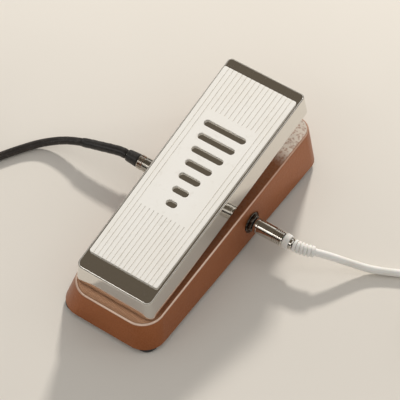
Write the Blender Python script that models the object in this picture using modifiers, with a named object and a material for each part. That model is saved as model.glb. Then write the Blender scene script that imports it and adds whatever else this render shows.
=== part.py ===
"""Rocker pedal with two instrument leads, as separate pieces.

Metres, +Z up. +Y points to the toe end, +X to the right-hand jack, and the origin is on the floor
under the middle of the base. The treadle is at rest heel down, as it stands in the photograph.
"""

import math

import bmesh
import bpy
import numpy as np
from mathutils import Matrix, Vector

for existing in list(bpy.data.objects):
    bpy.data.objects.remove(existing, do_unlink=True)

# Fits -------------------------------------------------------------------------------------------
SEAT = 0.0003              # gap between pieces that touch in the real pedal
STOP_GAP = 0.0005          # gap left at the end of the treadle's travel
SLIDE_GAP = 0.0004         # each side of a sliding or turning nylon piece
EMBED = 0.0012             # how far a cast lug runs into the wall that carries it
PASS = 0.002               # how far a cutter runs past the wall it cuts

# Base housing -----------------------------------------------------------------------------------
BASE_LENGTH = 0.253
BASE_WIDTH_HEEL = 0.092
BASE_WIDTH_TOE = 0.102
BASE_TOP_HEEL = 0.0277     # height of the top's heel edge
BASE_TOP_TOE = 0.048       # height of the top's toe edge
BASE_DRAFT = 0.006         # how far each side leans in, from bottom to top
BASE_CORNER = 0.0186
BASE_EDGE = 0.004
BASE_WALL = 0.004
FOOT_HEIGHT = 0.004
BASE_BOTTOM = FOOT_HEIGHT + SEAT

# Bottom plate and feet --------------------------------------------------------------------------
PLATE_THICKNESS = 0.0015
PLATE_CLEARANCE = 0.0012
FOOT_RADIUS = 0.0095
FOOT_INSET = 0.0122        # from the base's edges to a foot's centre
FOOT_RECESS_RADIUS = 0.0043
FOOT_FLOOR = 0.0017        # rubber left under a screw's head seat
FOOT_SCREW_RADIUS = 0.0018
FOOT_SCREW_HEAD_RADIUS = 0.0036
FOOT_SCREW_HEAD = 0.0014
FOOT_BOSS_RADIUS = 0.0045
FOOT_BOSS_TOP = 0.016

# Treadle, in its own frame: origin on the pivot axis, Y along the treadle, Z square to its top ---
PIVOT_Y = -0.002
PIVOT_Z = 0.050
REST_TILT = math.radians(9.17)
SWING = math.radians(8.5)  # heel down to toe down
TREADLE_LENGTH = 0.2285
TREADLE_WIDTH_HEEL = 0.0701
TREADLE_WIDTH_TOE = 0.0745
TREADLE_DRAFT = 0.0018     # the skirt flares this much to its rim
TREADLE_CORNER = 0.008
TREADLE_EDGE = 0.0018
TREADLE_AHEAD = 0.0042     # centre of the treadle ahead of the pivot
TREADLE_TOP = 0.0208       # top face above the pivot axis
TREADLE_SKIRT = 0.0235
TREADLE_WALL = 0.003

# Mat --------------------------------------------------------------------------------------------
MAT_THICKNESS = 0.0016
MAT_BAND_HEEL = 0.0155     # bare metal at the treadle's heel end
MAT_BAND_TOE = 0.0108
MAT_BAND_SIDE_HEEL = 0.0029
MAT_BAND_SIDE_TOE = 0.0022
MAT_CORNER = 0.0015
GROOVE_STEPS = 8           # grooves lie at whole steps of half the mat's width
GROOVE_LONG_STEP = 6       # from this step out they run the whole length
GROOVE_WIDTH = 0.0007
GROOVE_DEPTH = 0.0007
PANEL_START = 0.0566       # plain panel, from the mat's heel end
PANEL_END = 0.1597
BAR_COUNT = 7
BAR_LENGTH = 0.0064
BAR_PITCH = 0.0131
BAR_START = 0.0690         # centre of the narrowest bar, from the mat's heel end
BAR_WIDTH_FIRST = 0.010
BAR_WIDTH_LAST = 0.040

# Pivot ------------------------------------------------------------------------------------------
SHAFT_RADIUS = 0.004
SHAFT_LENGTH = 0.0630
POST_INNER = 0.016         # inner face of a pivot post, from the middle
POST_THICKNESS = 0.008
POST_RADIUS = 0.008
POST_FOOT = 0.0095         # half of a post's length where it meets the base
POST_DRAW = 0.0025         # how far each end leans in, up to just above the axis
BUSHING_WALL = 0.0012
BUSHING_FLANGE = 0.0015
BUSHING_FLANGE_RADIUS = 0.007
EAR_THICKNESS = 0.005
EAR_HEEL = 0.009           # ear's reach from the axis toward the heel
EAR_TOE = 0.007
EAR_BELOW = 0.007
SET_SCREW_RADIUS = 0.002
SET_SCREW_STANDOUT = 0.001
TENSION_WIDTH = 0.024
TENSION_DEPTH = 0.012
TENSION_PAD_Z = 0.039
TENSION_SCREW_RADIUS = 0.0025
TENSION_SCREW_HEAD = 0.003
TENSION_SCREW_HEAD_RADIUS = 0.0045
TENSION_SCREW_LOW = 0.0265

# Rack and pinion --------------------------------------------------------------------------------
MODULE = 0.001             # pitch diameter over tooth count
PINION_TEETH = 12
PRESSURE_ANGLE = math.radians(25.0)
ADDENDUM = 0.9 * MODULE
DEDENDUM = 1.15 * MODULE
BACKLASH = 0.0003
PINION_WIDTH = 0.004
PINION_Z = 0.022
RACK_ARM = 0.060           # rack pin from the pivot axis
RACK_WIDTH = 0.005
RACK_BACK = 0.0030         # back face to the pin's centre
RACK_FRONT = 0.0026        # pin's centre to the pitch line
RACK_HEAD = 0.004
RACK_BOTTOM = 0.017
RACK_TEETH = 6
RACK_PIN_RADIUS = 0.0015
RACK_PIN_LENGTH = 0.0126
RACK_HOLE_RADIUS = 0.0019
RACK_EAR_THICKNESS = 0.003
RACK_EAR_HALF = 0.004
RACK_EAR_BELOW = 0.0035
RACK_SLOT = 0.015          # square opening in the base's top
GUIDE_WALL = 0.0038
GUIDE_CHEEK = 0.003
GUIDE_LOW = 0.014
GUIDE_HIGH = 0.030

# Potentiometer ----------------------------------------------------------------------------------
BRACKET_X = 0.007
BRACKET_SHEET = 0.0015
BRACKET_HEEL = 0.050
BRACKET_TOE = 0.077
BRACKET_LOW = 0.010
BRACKET_TOP = 0.0344
FLANGE_LEFT = -0.008
FLANGE_HEEL = 0.064
BRACKET_SCREW_X = -0.002
BRACKET_SCREW_Y = 0.071
SMALL_SCREW_RADIUS = 0.0014
SMALL_SCREW_HEAD_RADIUS = 0.0028
SMALL_SCREW_HEAD = 0.0018
SMALL_BOSS_RADIUS = 0.004
SMALL_SCREW_BITE = 0.0055
POT_RADIUS = 0.0105
POT_DEPTH = 0.010
POT_BUSH_RADIUS = 0.0036
POT_BUSH_REACH = 0.0055
POT_SHAFT_RADIUS = 0.003
POT_SHAFT_DEPTH = 0.007    # how far the shaft runs into the pot's can
POT_NUT_RADIUS = 0.0058
POT_NUT_THICKNESS = 0.0024
TERMINAL_DROP = 0.0135

# Toe switch -------------------------------------------------------------------------------------
SWITCH_Y = 0.088
SWITCH_WIDTH = 0.017
SWITCH_LENGTH = 0.019
SWITCH_HEIGHT = 0.018
SWITCH_BUSH_RADIUS = 0.006
SWITCH_BUSH_TOP = 0.0537
SWITCH_BORE_FLOOR = 0.044
SWITCH_NUT_RADIUS = 0.0086
SWITCH_NUT_THICKNESS = 0.0027
PLUNGER_RADIUS = 0.0044
PLUNGER_TOP = 0.063
PLUNGER_TRAVEL = 0.0025
STRIKER_RADIUS = 0.006

# Bumpers ----------------------------------------------------------------------------------------
HEEL_BUMPER_Y = -0.098
HEEL_BUMPER_RADIUS = 0.006
HEEL_BUMPER_HEIGHT = 0.0107
HEEL_PAD_Z = 0.031
TOE_BUMPER_Y = 0.106
TOE_BUMPER_RADIUS = 0.005
TOE_BUMPER_HEIGHT = 0.0117
TOE_PAD_Z = 0.048
BUMPER_PAD_MARGIN = 0.0015
BUMPER_BOSS_RADIUS = 0.004

# Circuit board and battery ----------------------------------------------------------------------
BOARD_Z = 0.0121
BOARD_THICKNESS = 0.0016
BOARD_LEFT = 0.004
BOARD_RIGHT = 0.036
BOARD_BACK = 0.0365        # from the base's heel end to the board
BOARD_LENGTH = 0.066
BOARD_HEEL = BOARD_BACK - BASE_LENGTH / 2
BOARD_TOE = BOARD_HEEL + BOARD_LENGTH
BOARD_SCREW_X = 0.012
BOARD_SCREW_IN = 0.010     # from the board's ends to its screws
BOARD_SCREW_HEEL = BOARD_HEEL + BOARD_SCREW_IN
BOARD_SCREW_TOE = BOARD_TOE - BOARD_SCREW_IN
INDUCTOR_Y = BOARD_HEEL + 0.044
CAPACITOR_Y = BOARD_HEEL + 0.024
TRANSISTOR_HEEL_Y = BOARD_HEEL + 0.021
TRANSISTOR_TOE_Y = BOARD_HEEL + 0.033
INDUCTOR_RADIUS = 0.006
INDUCTOR_HEIGHT = 0.009
CAPACITOR_RADIUS = 0.004
CAPACITOR_HEIGHT = 0.011
TRANSISTOR_RADIUS = 0.0027
TRANSISTOR_HEIGHT = 0.0053
BATTERY_WIDTH = 0.0265
BATTERY_LENGTH = 0.0485
BATTERY_HEIGHT = 0.0170
BATTERY_LEFT = -0.0325
BATTERY_BACK = 0.0205      # from the base's heel end to the battery
BATTERY_HEEL = BATTERY_BACK - BASE_LENGTH / 2
STUD_HEIGHT = 0.0025
SNAP_THICKNESS = 0.004

# Jacks ------------------------------------------------------------------------------------------
JACK_Y = 0.022
JACK_Z = 0.020
JACK_SEAT_IN = 0.004535    # from the base's rim, beside the jack, to the flat spot face
JACK_SEAT_X = (BASE_WIDTH_HEEL + (BASE_WIDTH_TOE - BASE_WIDTH_HEEL)
               * (JACK_Y / BASE_LENGTH + 0.5)) / 2 - JACK_SEAT_IN
JACK_WALL = 0.0049         # from the spot face to the flat pad inside
JACK_PAD_X = JACK_SEAT_X - JACK_WALL
JACK_PAD_HALF = 0.0105
JACK_SPOT_RADIUS = 0.010
JACK_BUSH_RADIUS = 0.0048
JACK_BODY_DEPTH = 0.0222
JACK_BODY_HALF = 0.0085
JACK_BORE_RADIUS = 0.0035
JACK_WASHER_RADIUS = 0.009
JACK_WASHER_THICKNESS = 0.001
JACK_NUT_RADIUS = 0.0081
JACK_NUT_THICKNESS = 0.0026
JACK_BUSH_STANDOUT = 0.0008

# Leads ------------------------------------------------------------------------------------------
PLUG_TIP_RADIUS = 0.003175
PLUG_TIP_LENGTH = 0.0307
PLUG_FACE_X = JACK_SEAT_X + 2 * SEAT + JACK_WASHER_THICKNESS + JACK_NUT_THICKNESS \
    + JACK_BUSH_STANDOUT + SEAT
RIGHT_CABLE = 0.0065
RIGHT_BARREL = 0.0276
RIGHT_BARREL_RADIUS = 0.0065
RIGHT_COLLAR = 0.0055
RIGHT_FLANGE = 0.0027
PLUG_GROOVES = 2
PLUG_GROOVE = 0.0010
PLUG_GROOVE_PITCH = 0.0028
PLUG_CHAMFER = 0.0008
RIGHT_NECK_RADIUS = 0.004
RELIEF_LENGTH = 0.0165
RELIEF_BEND = math.radians(25.0)
RELIEF_RIBS = 6
RELIEF_RIB_RADIUS = 0.0052
RELIEF_CORE_RADIUS = 0.0041
LEFT_CABLE = 0.0070
LEFT_BARREL = 0.0172
LEFT_BARREL_RADIUS = 0.0064
LEFT_COLLAR = 0.0115
LEFT_COLLAR_RADIUS = 0.0060
LEFT_NECK_RADIUS = 0.0039
SLEEVE_RADIUS = 0.0045
SLEEVE_LENGTH = 0.043
COIL_TURNS = 7.25
COIL_MEAN_RADIUS = 0.0395
COIL_AIR = 0.0007          # between neighbouring turns and layers
COIL_POINTS = 24           # points a turn
COIL_TAIL = 0.050
FLOOR_AIR = 0.0001         # under a lead that lies on the floor
TUBE_STEP = 2.3            # diameters between a tube's points
HOLLOW_STEPS = 4           # facets round a corner of the housing's hollow and its plate
ROUND = 28
MEDIUM = 20
TURNED = 16
SMALL = 12


# Materials and collections ----------------------------------------------------------------------
def new_collection(name):
    collection = bpy.data.collections.new(name)
    bpy.context.scene.collection.children.link(collection)
    return collection


PARTS = new_collection("rocker_pedal")
CUTTERS = new_collection("cutters")


def material(name, colour, roughness, metallic=0.0):
    made = bpy.data.materials.new(name)
    made.use_nodes = True
    shader = made.node_tree.nodes["Principled BSDF"]
    shader.inputs["Base Color"].default_value = (*colour, 1.0)
    shader.inputs["Roughness"].default_value = roughness
    shader.inputs["Metallic"].default_value = metallic
    return made


COPPER_PAINT = material("copper_paint", (0.34, 0.14, 0.06), 0.45, 0.5)
CHROME = material("chrome", (0.78, 0.76, 0.72), 0.08, 1.0)
CREAM_RUBBER = material("cream_rubber", (0.83, 0.79, 0.72), 0.6)
BLACK_RUBBER = material("black_rubber", (0.02, 0.02, 0.02), 0.7)
STEEL = material("zinc_steel", (0.55, 0.55, 0.53), 0.35, 1.0)
DARK_STEEL = material("dark_steel", (0.09, 0.08, 0.08), 0.4, 0.8)
NYLON = material("white_nylon", (0.80, 0.79, 0.74), 0.5)
GREEN_BOARD = material("green_board", (0.03, 0.18, 0.08), 0.5)
BLACK_PLASTIC = material("black_plastic", (0.02, 0.02, 0.02), 0.5)
BATTERY_CASE = material("battery_case", (0.10, 0.11, 0.14), 0.4)
NICKEL = material("nickel", (0.42, 0.40, 0.36), 0.25, 1.0)
WHITE_CABLE_SKIN = material("white_cable", (0.86, 0.85, 0.81), 0.5)
BLACK_CABLE_SKIN = material("black_cable", (0.02, 0.017, 0.015), 0.55)


# Building blocks --------------------------------------------------------------------------------
TURN_X = Matrix.Rotation(math.pi / 2, 4, "Y")
TURN_Y = Matrix.Rotation(-math.pi / 2, 4, "X")
TURNS = {"X": TURN_X, "Y": TURN_Y, "Z": Matrix.Identity(4)}
OUTLINE_IN_YZ = Matrix(((0, 0, 1, 0), (1, 0, 0, 0), (0, 1, 0, 0), (0, 0, 0, 1)))


def add_box(mesh, low, high, drawn_in=0.0):
    """A box. Its heel and toe faces lean in by drawn_in at the top."""
    low, high = Vector(low), Vector(high)
    size = Matrix.Diagonal((*(high - low), 1.0))
    middle = (low + high) / 2
    made = bmesh.ops.create_cube(mesh, size=1.0, matrix=Matrix.Translation(middle) @ size)
    for vert in made["verts"]:
        if vert.co.z > middle.z:
            vert.co.y -= math.copysign(drawn_in, vert.co.y - middle.y)


def add_rod(mesh, start, length, radius, axis="Z", segments=MEDIUM):
    """A cylinder that runs from start along +axis."""
    along = TURNS[axis].to_3x3() @ Vector((0, 0, length / 2))
    place = Matrix.Translation(Vector(start) + along) @ TURNS[axis]
    bmesh.ops.create_cone(mesh, cap_ends=True, segments=segments, radius1=radius, radius2=radius,
                          depth=length, matrix=place)


def add_wedge(mesh, centre_y, length, width_heel, width_toe, low, high_heel, high_toe,
              draft=0.0, corner=0.0, corner_steps=6, edge=0.0, edge_steps=3):
    """A box tapered in plan and in height, with rounded upright corners and top edge.

    Widths and length are at the low face, and draft is how far the high face is drawn in.
    """
    corners = bmesh.ops.create_cube(mesh, size=1.0)["verts"]
    for vert in corners:
        toe, high = vert.co.y > 0, vert.co.z > 0
        inset = draft if high else 0.0
        width = width_toe if toe else width_heel
        side, end = math.copysign(1, vert.co.x), math.copysign(1, vert.co.y)
        level = (high_toe if toe else high_heel) if high else low
        vert.co = (side * (width / 2 - inset), centre_y + end * (length / 2 - inset), level)
    faces = {face for vert in corners for face in vert.link_faces}
    edges = {edge_ for vert in corners for edge_ in vert.link_edges}
    top = max(faces, key=lambda face: face.calc_center_median().z)
    if corner:
        upright = [e for e in edges if (e.verts[0] in top.verts) != (e.verts[1] in top.verts)]
        bmesh.ops.bevel(mesh, geom=upright, offset=corner, segments=corner_steps, profile=0.5,
                        affect="EDGES")
    if edge:
        top = max((face for face in mesh.faces), key=lambda face: face.calc_center_median().z)
        bmesh.ops.bevel(mesh, geom=list(top.edges), offset=edge, segments=edge_steps,
                        profile=0.5, affect="EDGES")


def add_strip(mesh, x_heel, x_toe, heel, toe, width, low, high):
    """A straight strip whose middle runs from x_heel at its heel end to x_toe at its toe end."""
    for vert in bmesh.ops.create_cube(mesh, size=1.0)["verts"]:
        middle, y = (x_toe, toe) if vert.co.y > 0 else (x_heel, heel)
        vert.co = (middle + math.copysign(width / 2, vert.co.x), y, high if vert.co.z > 0 else low)


def mesh_from(name, build):
    work = bmesh.new()
    build(work)
    mesh = bpy.data.meshes.new(name)
    work.to_mesh(mesh)
    work.free()
    return mesh


def place(obj, at=(0, 0, 0), turn=None, parent=None):
    obj.location = at
    if turn is not None:
        obj.rotation_euler = turn.to_euler()
    obj.parent = parent
    return obj


def smooth(mesh, degrees=35):
    mesh.shade_smooth()
    mesh.set_sharp_from_angle(angle=math.radians(degrees))


def solid(name, build, skin, **where):
    """A sub-part whose mesh is made by build(mesh)."""
    mesh = mesh_from(name, build)
    mesh.materials.append(skin)
    smooth(mesh)
    obj = bpy.data.objects.new(name, mesh)
    PARTS.objects.link(obj)
    return place(obj, **where)


def cut_or_join(target, name, build, operation, **where):
    """One Boolean with a hidden guide made by build(mesh)."""
    guide = bpy.data.objects.new(name, mesh_from(name, build))
    guide.hide_render = True
    guide.display_type = "WIRE"
    CUTTERS.objects.link(guide)
    place(guide, parent=target.parent, **where)
    step = target.modifiers.new(name, "BOOLEAN")
    step.operation = operation
    step.object = guide


def cut(target, name, build, **where):
    cut_or_join(target, name, build, "DIFFERENCE", **where)


def join(target, name, build, **where):
    cut_or_join(target, name, build, "UNION", **where)


def turned(name, profile, skin, ring=False, steps=TURNED, **where):
    """A body of revolution about local Z. The profile is (radius, height) down the outer side."""
    count = len(profile)
    edges = [(i, i + 1) for i in range(count - 1)]
    if ring:
        edges.append((count - 1, 0))
    mesh = bpy.data.meshes.new(name)
    mesh.from_pydata([(radius, 0.0, height) for radius, height in profile], edges, [])
    mesh.materials.append(skin)
    obj = bpy.data.objects.new(name, mesh)
    PARTS.objects.link(obj)
    spin = obj.modifiers.new("turn", "SCREW")
    spin.steps = spin.render_steps = steps
    spin.use_merge_vertices = True
    spin.merge_threshold = 0.00001
    return place(obj, **where)


def flat(name, outlines, thickness, skin, **where):
    """A flat piece cut from sheet: closed outlines in local XY, holes included, as a mesh."""
    curve = bpy.data.curves.new(name, "CURVE")
    curve.dimensions = "2D"
    curve.fill_mode = "BOTH"
    curve.extrude = thickness / 2
    for outline in outlines:
        spline = curve.splines.new("POLY")
        spline.points.add(len(outline) - 1)
        spline.use_cyclic_u = True
        for point, (x, y) in zip(spline.points, outline):
            point.co = (x, y, 0.0, 1.0)
    drawn = bpy.data.objects.new(name + "_outline", curve)
    PARTS.objects.link(drawn)
    bpy.context.view_layer.update()
    depsgraph = bpy.context.evaluated_depsgraph_get()
    mesh = bpy.data.meshes.new_from_object(drawn.evaluated_get(depsgraph))
    bpy.data.objects.remove(drawn, do_unlink=True)
    work = bmesh.new()
    work.from_mesh(mesh)
    bmesh.ops.remove_doubles(work, verts=work.verts, dist=0.000001)
    work.to_mesh(mesh)
    work.free()
    mesh.name = name
    mesh.materials.clear()
    mesh.materials.append(skin)
    obj = bpy.data.objects.new(name, mesh)
    PARTS.objects.link(obj)
    return place(obj, **where)


def circle(radius, segments, centre=(0.0, 0.0)):
    step = 2 * math.pi / segments
    return [(centre[0] + radius * math.cos(i * step), centre[1] + radius * math.sin(i * step))
            for i in range(segments)]


def screw(name, head_radius, head, radius, length, head_low, at, parent=None):
    """A screw driven upward: its head's low face is at head_low, its shank above the head."""
    def build(mesh):
        add_rod(mesh, (0, 0, 0), head, head_radius, segments=SMALL)

    def shank(mesh):
        add_rod(mesh, (0, 0, head / 2), head / 2 + length, radius, segments=SMALL)

    def drive(mesh):
        add_rod(mesh, (0, 0, -PASS), PASS + head / 2.5, head_radius * 0.45, segments=6)

    obj = solid(name, build, STEEL, at=(at[0], at[1], head_low), parent=parent)
    join(obj, name + "_shank", shank, at=(at[0], at[1], head_low))
    cut(obj, name + "_drive", drive, at=(at[0], at[1], head_low))
    return obj


def empty(name, at, tilt=0.0):
    """A joint's frame, on its axis."""
    obj = bpy.data.objects.new(name, None)
    obj.location = at
    obj.rotation_euler = (tilt, 0.0, 0.0)
    PARTS.objects.link(obj)
    return obj


# Where things are -------------------------------------------------------------------------------
TOP_RUN = BASE_LENGTH - 2 * BASE_DRAFT


def base_top(y):
    """Height of the base's sloped top at y."""
    return BASE_TOP_HEEL + (BASE_TOP_TOE - BASE_TOP_HEEL) * (y + TOP_RUN / 2) / TOP_RUN


def base_width(y):
    """Width of the base's bottom at y."""
    return BASE_WIDTH_HEEL + (BASE_WIDTH_TOE - BASE_WIDTH_HEEL) * (y / BASE_LENGTH + 0.5)


def in_treadle(y, z, tilt):
    """A place over the base, in the treadle's own frame when it is tilted by tilt."""
    across, up = y - PIVOT_Y, z - PIVOT_Z
    return (across * math.cos(tilt) + up * math.sin(tilt),
            up * math.cos(tilt) - across * math.sin(tilt))


END_FOOT_Y = BASE_LENGTH / 2 - FOOT_INSET
CORNERS = [(end_name + "_" + side_name, side * (base_width(end * END_FOOT_Y) / 2 - FOOT_INSET),
            end * END_FOOT_Y)
           for end_name, end in (("heel", -1), ("toe", 1))
           for side_name, side in (("left", -1), ("right", 1))]
SIDES = (("left", -1), ("right", 1))

PLATE_LOW = BASE_BOTTOM
PLATE_HIGH = PLATE_LOW + PLATE_THICKNESS
PLATE_ROOM = PLATE_HIGH + SEAT
BEARING_RADIUS = SHAFT_RADIUS + SEAT
BUSHING_RADIUS = BEARING_RADIUS + BUSHING_WALL
EAR_INNER = POST_INNER + POST_THICKNESS + SEAT + BUSHING_FLANGE + SLIDE_GAP
TREADLE_UNDER = TREADLE_TOP - TREADLE_WALL

PITCH_RADIUS = MODULE * PINION_TEETH / 2
TOOTH_PITCH = math.pi * MODULE
# The rack's pin swings evenly above and below the pivot's height, so it hardly moves along Y.
PIN_REST = SWING / 2
PIN_Y = PIVOT_Y + RACK_ARM * math.cos(PIN_REST)
PIN_Z = PIVOT_Z + RACK_ARM * math.sin(PIN_REST)
RACK_Y = PIVOT_Y + RACK_ARM * (1 + math.cos(PIN_REST)) / 2
PITCH_LINE_Y = RACK_Y + RACK_FRONT
PINION_Y = PITCH_LINE_Y + PITCH_RADIUS
POT_FACE_X = BRACKET_X + BRACKET_SHEET + SEAT

PIVOT = empty("treadle_pivot", (0, PIVOT_Y, PIVOT_Z), REST_TILT)
RACK_FRAME = empty("rack_slide", (0, RACK_Y, PIN_Z))
PINION_FRAME = empty("pinion_axis", (0, PINION_Y, PINION_Z))
PLUNGER_FRAME = empty("plunger_slide", (0, SWITCH_Y, PLUNGER_TOP))


# Base housing -----------------------------------------------------------------------------------
def base_housing():
    def outside(mesh):
        add_wedge(mesh, 0.0, BASE_LENGTH, BASE_WIDTH_HEEL, BASE_WIDTH_TOE, BASE_BOTTOM,
                  BASE_TOP_HEEL, BASE_TOP_TOE, BASE_DRAFT, BASE_CORNER, 6, BASE_EDGE)

    def inside(mesh):
        wall = 2 * BASE_WALL
        add_wedge(mesh, 0.0, BASE_LENGTH - wall, BASE_WIDTH_HEEL - wall, BASE_WIDTH_TOE - wall,
                  BASE_BOTTOM - BASE_WALL / 4, BASE_TOP_HEEL - BASE_WALL,
                  BASE_TOP_TOE - BASE_WALL, BASE_DRAFT, BASE_CORNER - BASE_WALL, HOLLOW_STEPS)

    def lugs(mesh):
        """Posts, pads and bosses cast with the housing."""
        post_low = base_top(PIVOT_Y - POST_FOOT) - EMBED
        for _, side in SIDES:
            inner, outer = sorted((side * POST_INNER, side * (POST_INNER + POST_THICKNESS)))
            add_box(mesh, (inner, PIVOT_Y - POST_FOOT, post_low),
                    (outer, PIVOT_Y + POST_FOOT, PIVOT_Z + POST_DRAW), POST_DRAW)
            pad = sorted((side * JACK_PAD_X, side * (JACK_SEAT_X - SEAT)))
            add_box(mesh, (pad[0], JACK_Y - JACK_PAD_HALF, JACK_Z - JACK_PAD_HALF + SEAT),
                    (pad[1], JACK_Y + JACK_PAD_HALF, JACK_Z + JACK_PAD_HALF))
        half = TENSION_WIDTH / 2 + BUMPER_PAD_MARGIN
        deep = TENSION_DEPTH / 2 + BUMPER_PAD_MARGIN
        add_box(mesh, (-half, PIVOT_Y - deep, post_low), (half, PIVOT_Y + deep, TENSION_PAD_Z))
        for y, radius, level in ((HEEL_BUMPER_Y, HEEL_BUMPER_RADIUS, HEEL_PAD_Z),
                                 (TOE_BUMPER_Y, TOE_BUMPER_RADIUS, TOE_PAD_Z)):
            low = base_top(y - radius) - 2 * EMBED
            add_rod(mesh, (0, y, low), level - low, radius + BUMPER_PAD_MARGIN)
        for _, x, y in CORNERS:
            add_rod(mesh, (x, y, PLATE_ROOM), FOOT_BOSS_TOP - PLATE_ROOM, FOOT_BOSS_RADIUS,
                    segments=SMALL)
        for x, y, low in BOSSES:
            add_rod(mesh, (x, y, low), base_top(y) - 2 * EMBED - low, SMALL_BOSS_RADIUS,
                    segments=SMALL)

    def post_heads(mesh):
        for _, side in SIDES:
            start = min(side * POST_INNER, side * (POST_INNER + POST_THICKNESS))
            add_rod(mesh, (start, PIVOT_Y, PIVOT_Z), POST_THICKNESS, POST_RADIUS, "X", ROUND)

    def holes(mesh):
        for _, side in SIDES:
            edge = POST_THICKNESS + 2 * PASS
            start = min(side * (POST_INNER - PASS), side * (POST_INNER - PASS) + side * edge)
            add_rod(mesh, (start, PIVOT_Y, PIVOT_Z), edge, BUSHING_RADIUS + SEAT, "X")
            face = side * (JACK_PAD_X - PASS)
            run = JACK_SEAT_X - JACK_PAD_X + 2 * PASS
            add_rod(mesh, (min(face, face + side * run), JACK_Y, JACK_Z), run,
                    JACK_BUSH_RADIUS + SEAT, "X")
        low = base_top(PIVOT_Y) - BASE_WALL - 2 * PASS
        add_rod(mesh, (0, PIVOT_Y, low), TENSION_PAD_Z + PASS - low,
                TENSION_SCREW_RADIUS + SEAT, segments=SMALL)
        half, mid = RACK_SLOT / 2, RACK_Y
        add_box(mesh, (-half, mid - half, base_top(mid) - BASE_WALL - PASS),
                (half, mid + half, base_top(mid) + PASS))
        add_rod(mesh, (0, SWITCH_Y, base_top(SWITCH_Y) - BASE_WALL - PASS),
                BASE_WALL + 2 * PASS, SWITCH_BUSH_RADIUS + SEAT)
        for _, x, y in CORNERS:
            add_rod(mesh, (x, y, PLATE_HIGH), FOOT_BOSS_TOP - PASS - PLATE_HIGH,
                    FOOT_SCREW_RADIUS + SEAT, segments=SMALL)
        for x, y, low in BOSSES:
            add_rod(mesh, (x, y, low - PASS), PASS + SMALL_SCREW_BITE + SEAT,
                    SMALL_SCREW_RADIUS + SEAT, segments=SMALL)

    def spot_faces(mesh):
        for _, side in SIDES:
            far = side * (JACK_SEAT_X + 5 * PASS)
            add_rod(mesh, (min(side * JACK_SEAT_X, far), JACK_Y, JACK_Z), 5 * PASS,
                    JACK_SPOT_RADIUS, "X", ROUND)

    housing = solid("base_housing", outside, COPPER_PAINT)
    cut(housing, "base_hollow", inside)
    join(housing, "base_lugs", lugs)
    join(housing, "base_post_heads", post_heads)
    cut(housing, "base_holes", holes)
    cut(housing, "base_spot_faces", spot_faces)


BOARD_BOSS_LOW = BOARD_Z + BOARD_THICKNESS + SEAT
BOSSES = [(BRACKET_SCREW_X, BRACKET_SCREW_Y, BRACKET_TOP + SEAT),
          (BOARD_SCREW_X, BOARD_SCREW_HEEL, BOARD_BOSS_LOW),
          (BOARD_SCREW_X, BOARD_SCREW_TOE, BOARD_BOSS_LOW)]


# Bottom plate and feet --------------------------------------------------------------------------
def bottom_plate():
    inset = 2 * (BASE_WALL + PLATE_CLEARANCE)

    def sheet(mesh):
        add_wedge(mesh, 0.0, BASE_LENGTH - inset, BASE_WIDTH_HEEL - inset,
                  BASE_WIDTH_TOE - inset, PLATE_LOW, PLATE_HIGH, PLATE_HIGH,
                  corner=BASE_CORNER - BASE_WALL, corner_steps=HOLLOW_STEPS)

    def holes(mesh):
        for _, x, y in CORNERS:
            add_rod(mesh, (x, y, PLATE_LOW - PASS), PLATE_THICKNESS + 2 * PASS,
                    FOOT_SCREW_RADIUS + SEAT, segments=SMALL)

    plate = solid("bottom_plate", sheet, DARK_STEEL)
    cut(plate, "plate_holes", holes)


def feet():
    bore = FOOT_SCREW_RADIUS + SEAT
    seat = FOOT_HEIGHT - FOOT_FLOOR
    round_edge = FOOT_HEIGHT / 5
    profile = [(FOOT_RADIUS, FOOT_HEIGHT), (FOOT_RADIUS, round_edge),
               (FOOT_RADIUS - round_edge, 0.0), (FOOT_RECESS_RADIUS, 0.0),
               (FOOT_RECESS_RADIUS, seat), (bore, seat), (bore, FOOT_HEIGHT)]
    head_low = seat - SEAT - FOOT_SCREW_HEAD
    reach = FOOT_BOSS_TOP - PASS - SEAT - head_low - FOOT_SCREW_HEAD
    for corner, x, y in CORNERS:
        turned("foot_" + corner, profile, BLACK_RUBBER, ring=True, at=(x, y, 0.0))
        screw("foot_screw_" + corner, FOOT_SCREW_HEAD_RADIUS, FOOT_SCREW_HEAD,
              FOOT_SCREW_RADIUS, reach, head_low, (x, y))


# Treadle ----------------------------------------------------------------------------------------
PIN_LOCAL = in_treadle(PIN_Y, PIN_Z, REST_TILT)
STRIKER_LOCAL = in_treadle(SWITCH_Y, PLUNGER_TOP + STOP_GAP, REST_TILT - SWING)
TOE_STOP_LOCAL = in_treadle(TOE_BUMPER_Y, TOE_PAD_Z + SEAT + TOE_BUMPER_HEIGHT + STOP_GAP,
                            REST_TILT - SWING)
HEEL_STOP_LOCAL = in_treadle(HEEL_BUMPER_Y, HEEL_PAD_Z + SEAT + HEEL_BUMPER_HEIGHT + STOP_GAP,
                             REST_TILT)
RIM = TREADLE_TOP - TREADLE_SKIRT


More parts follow.
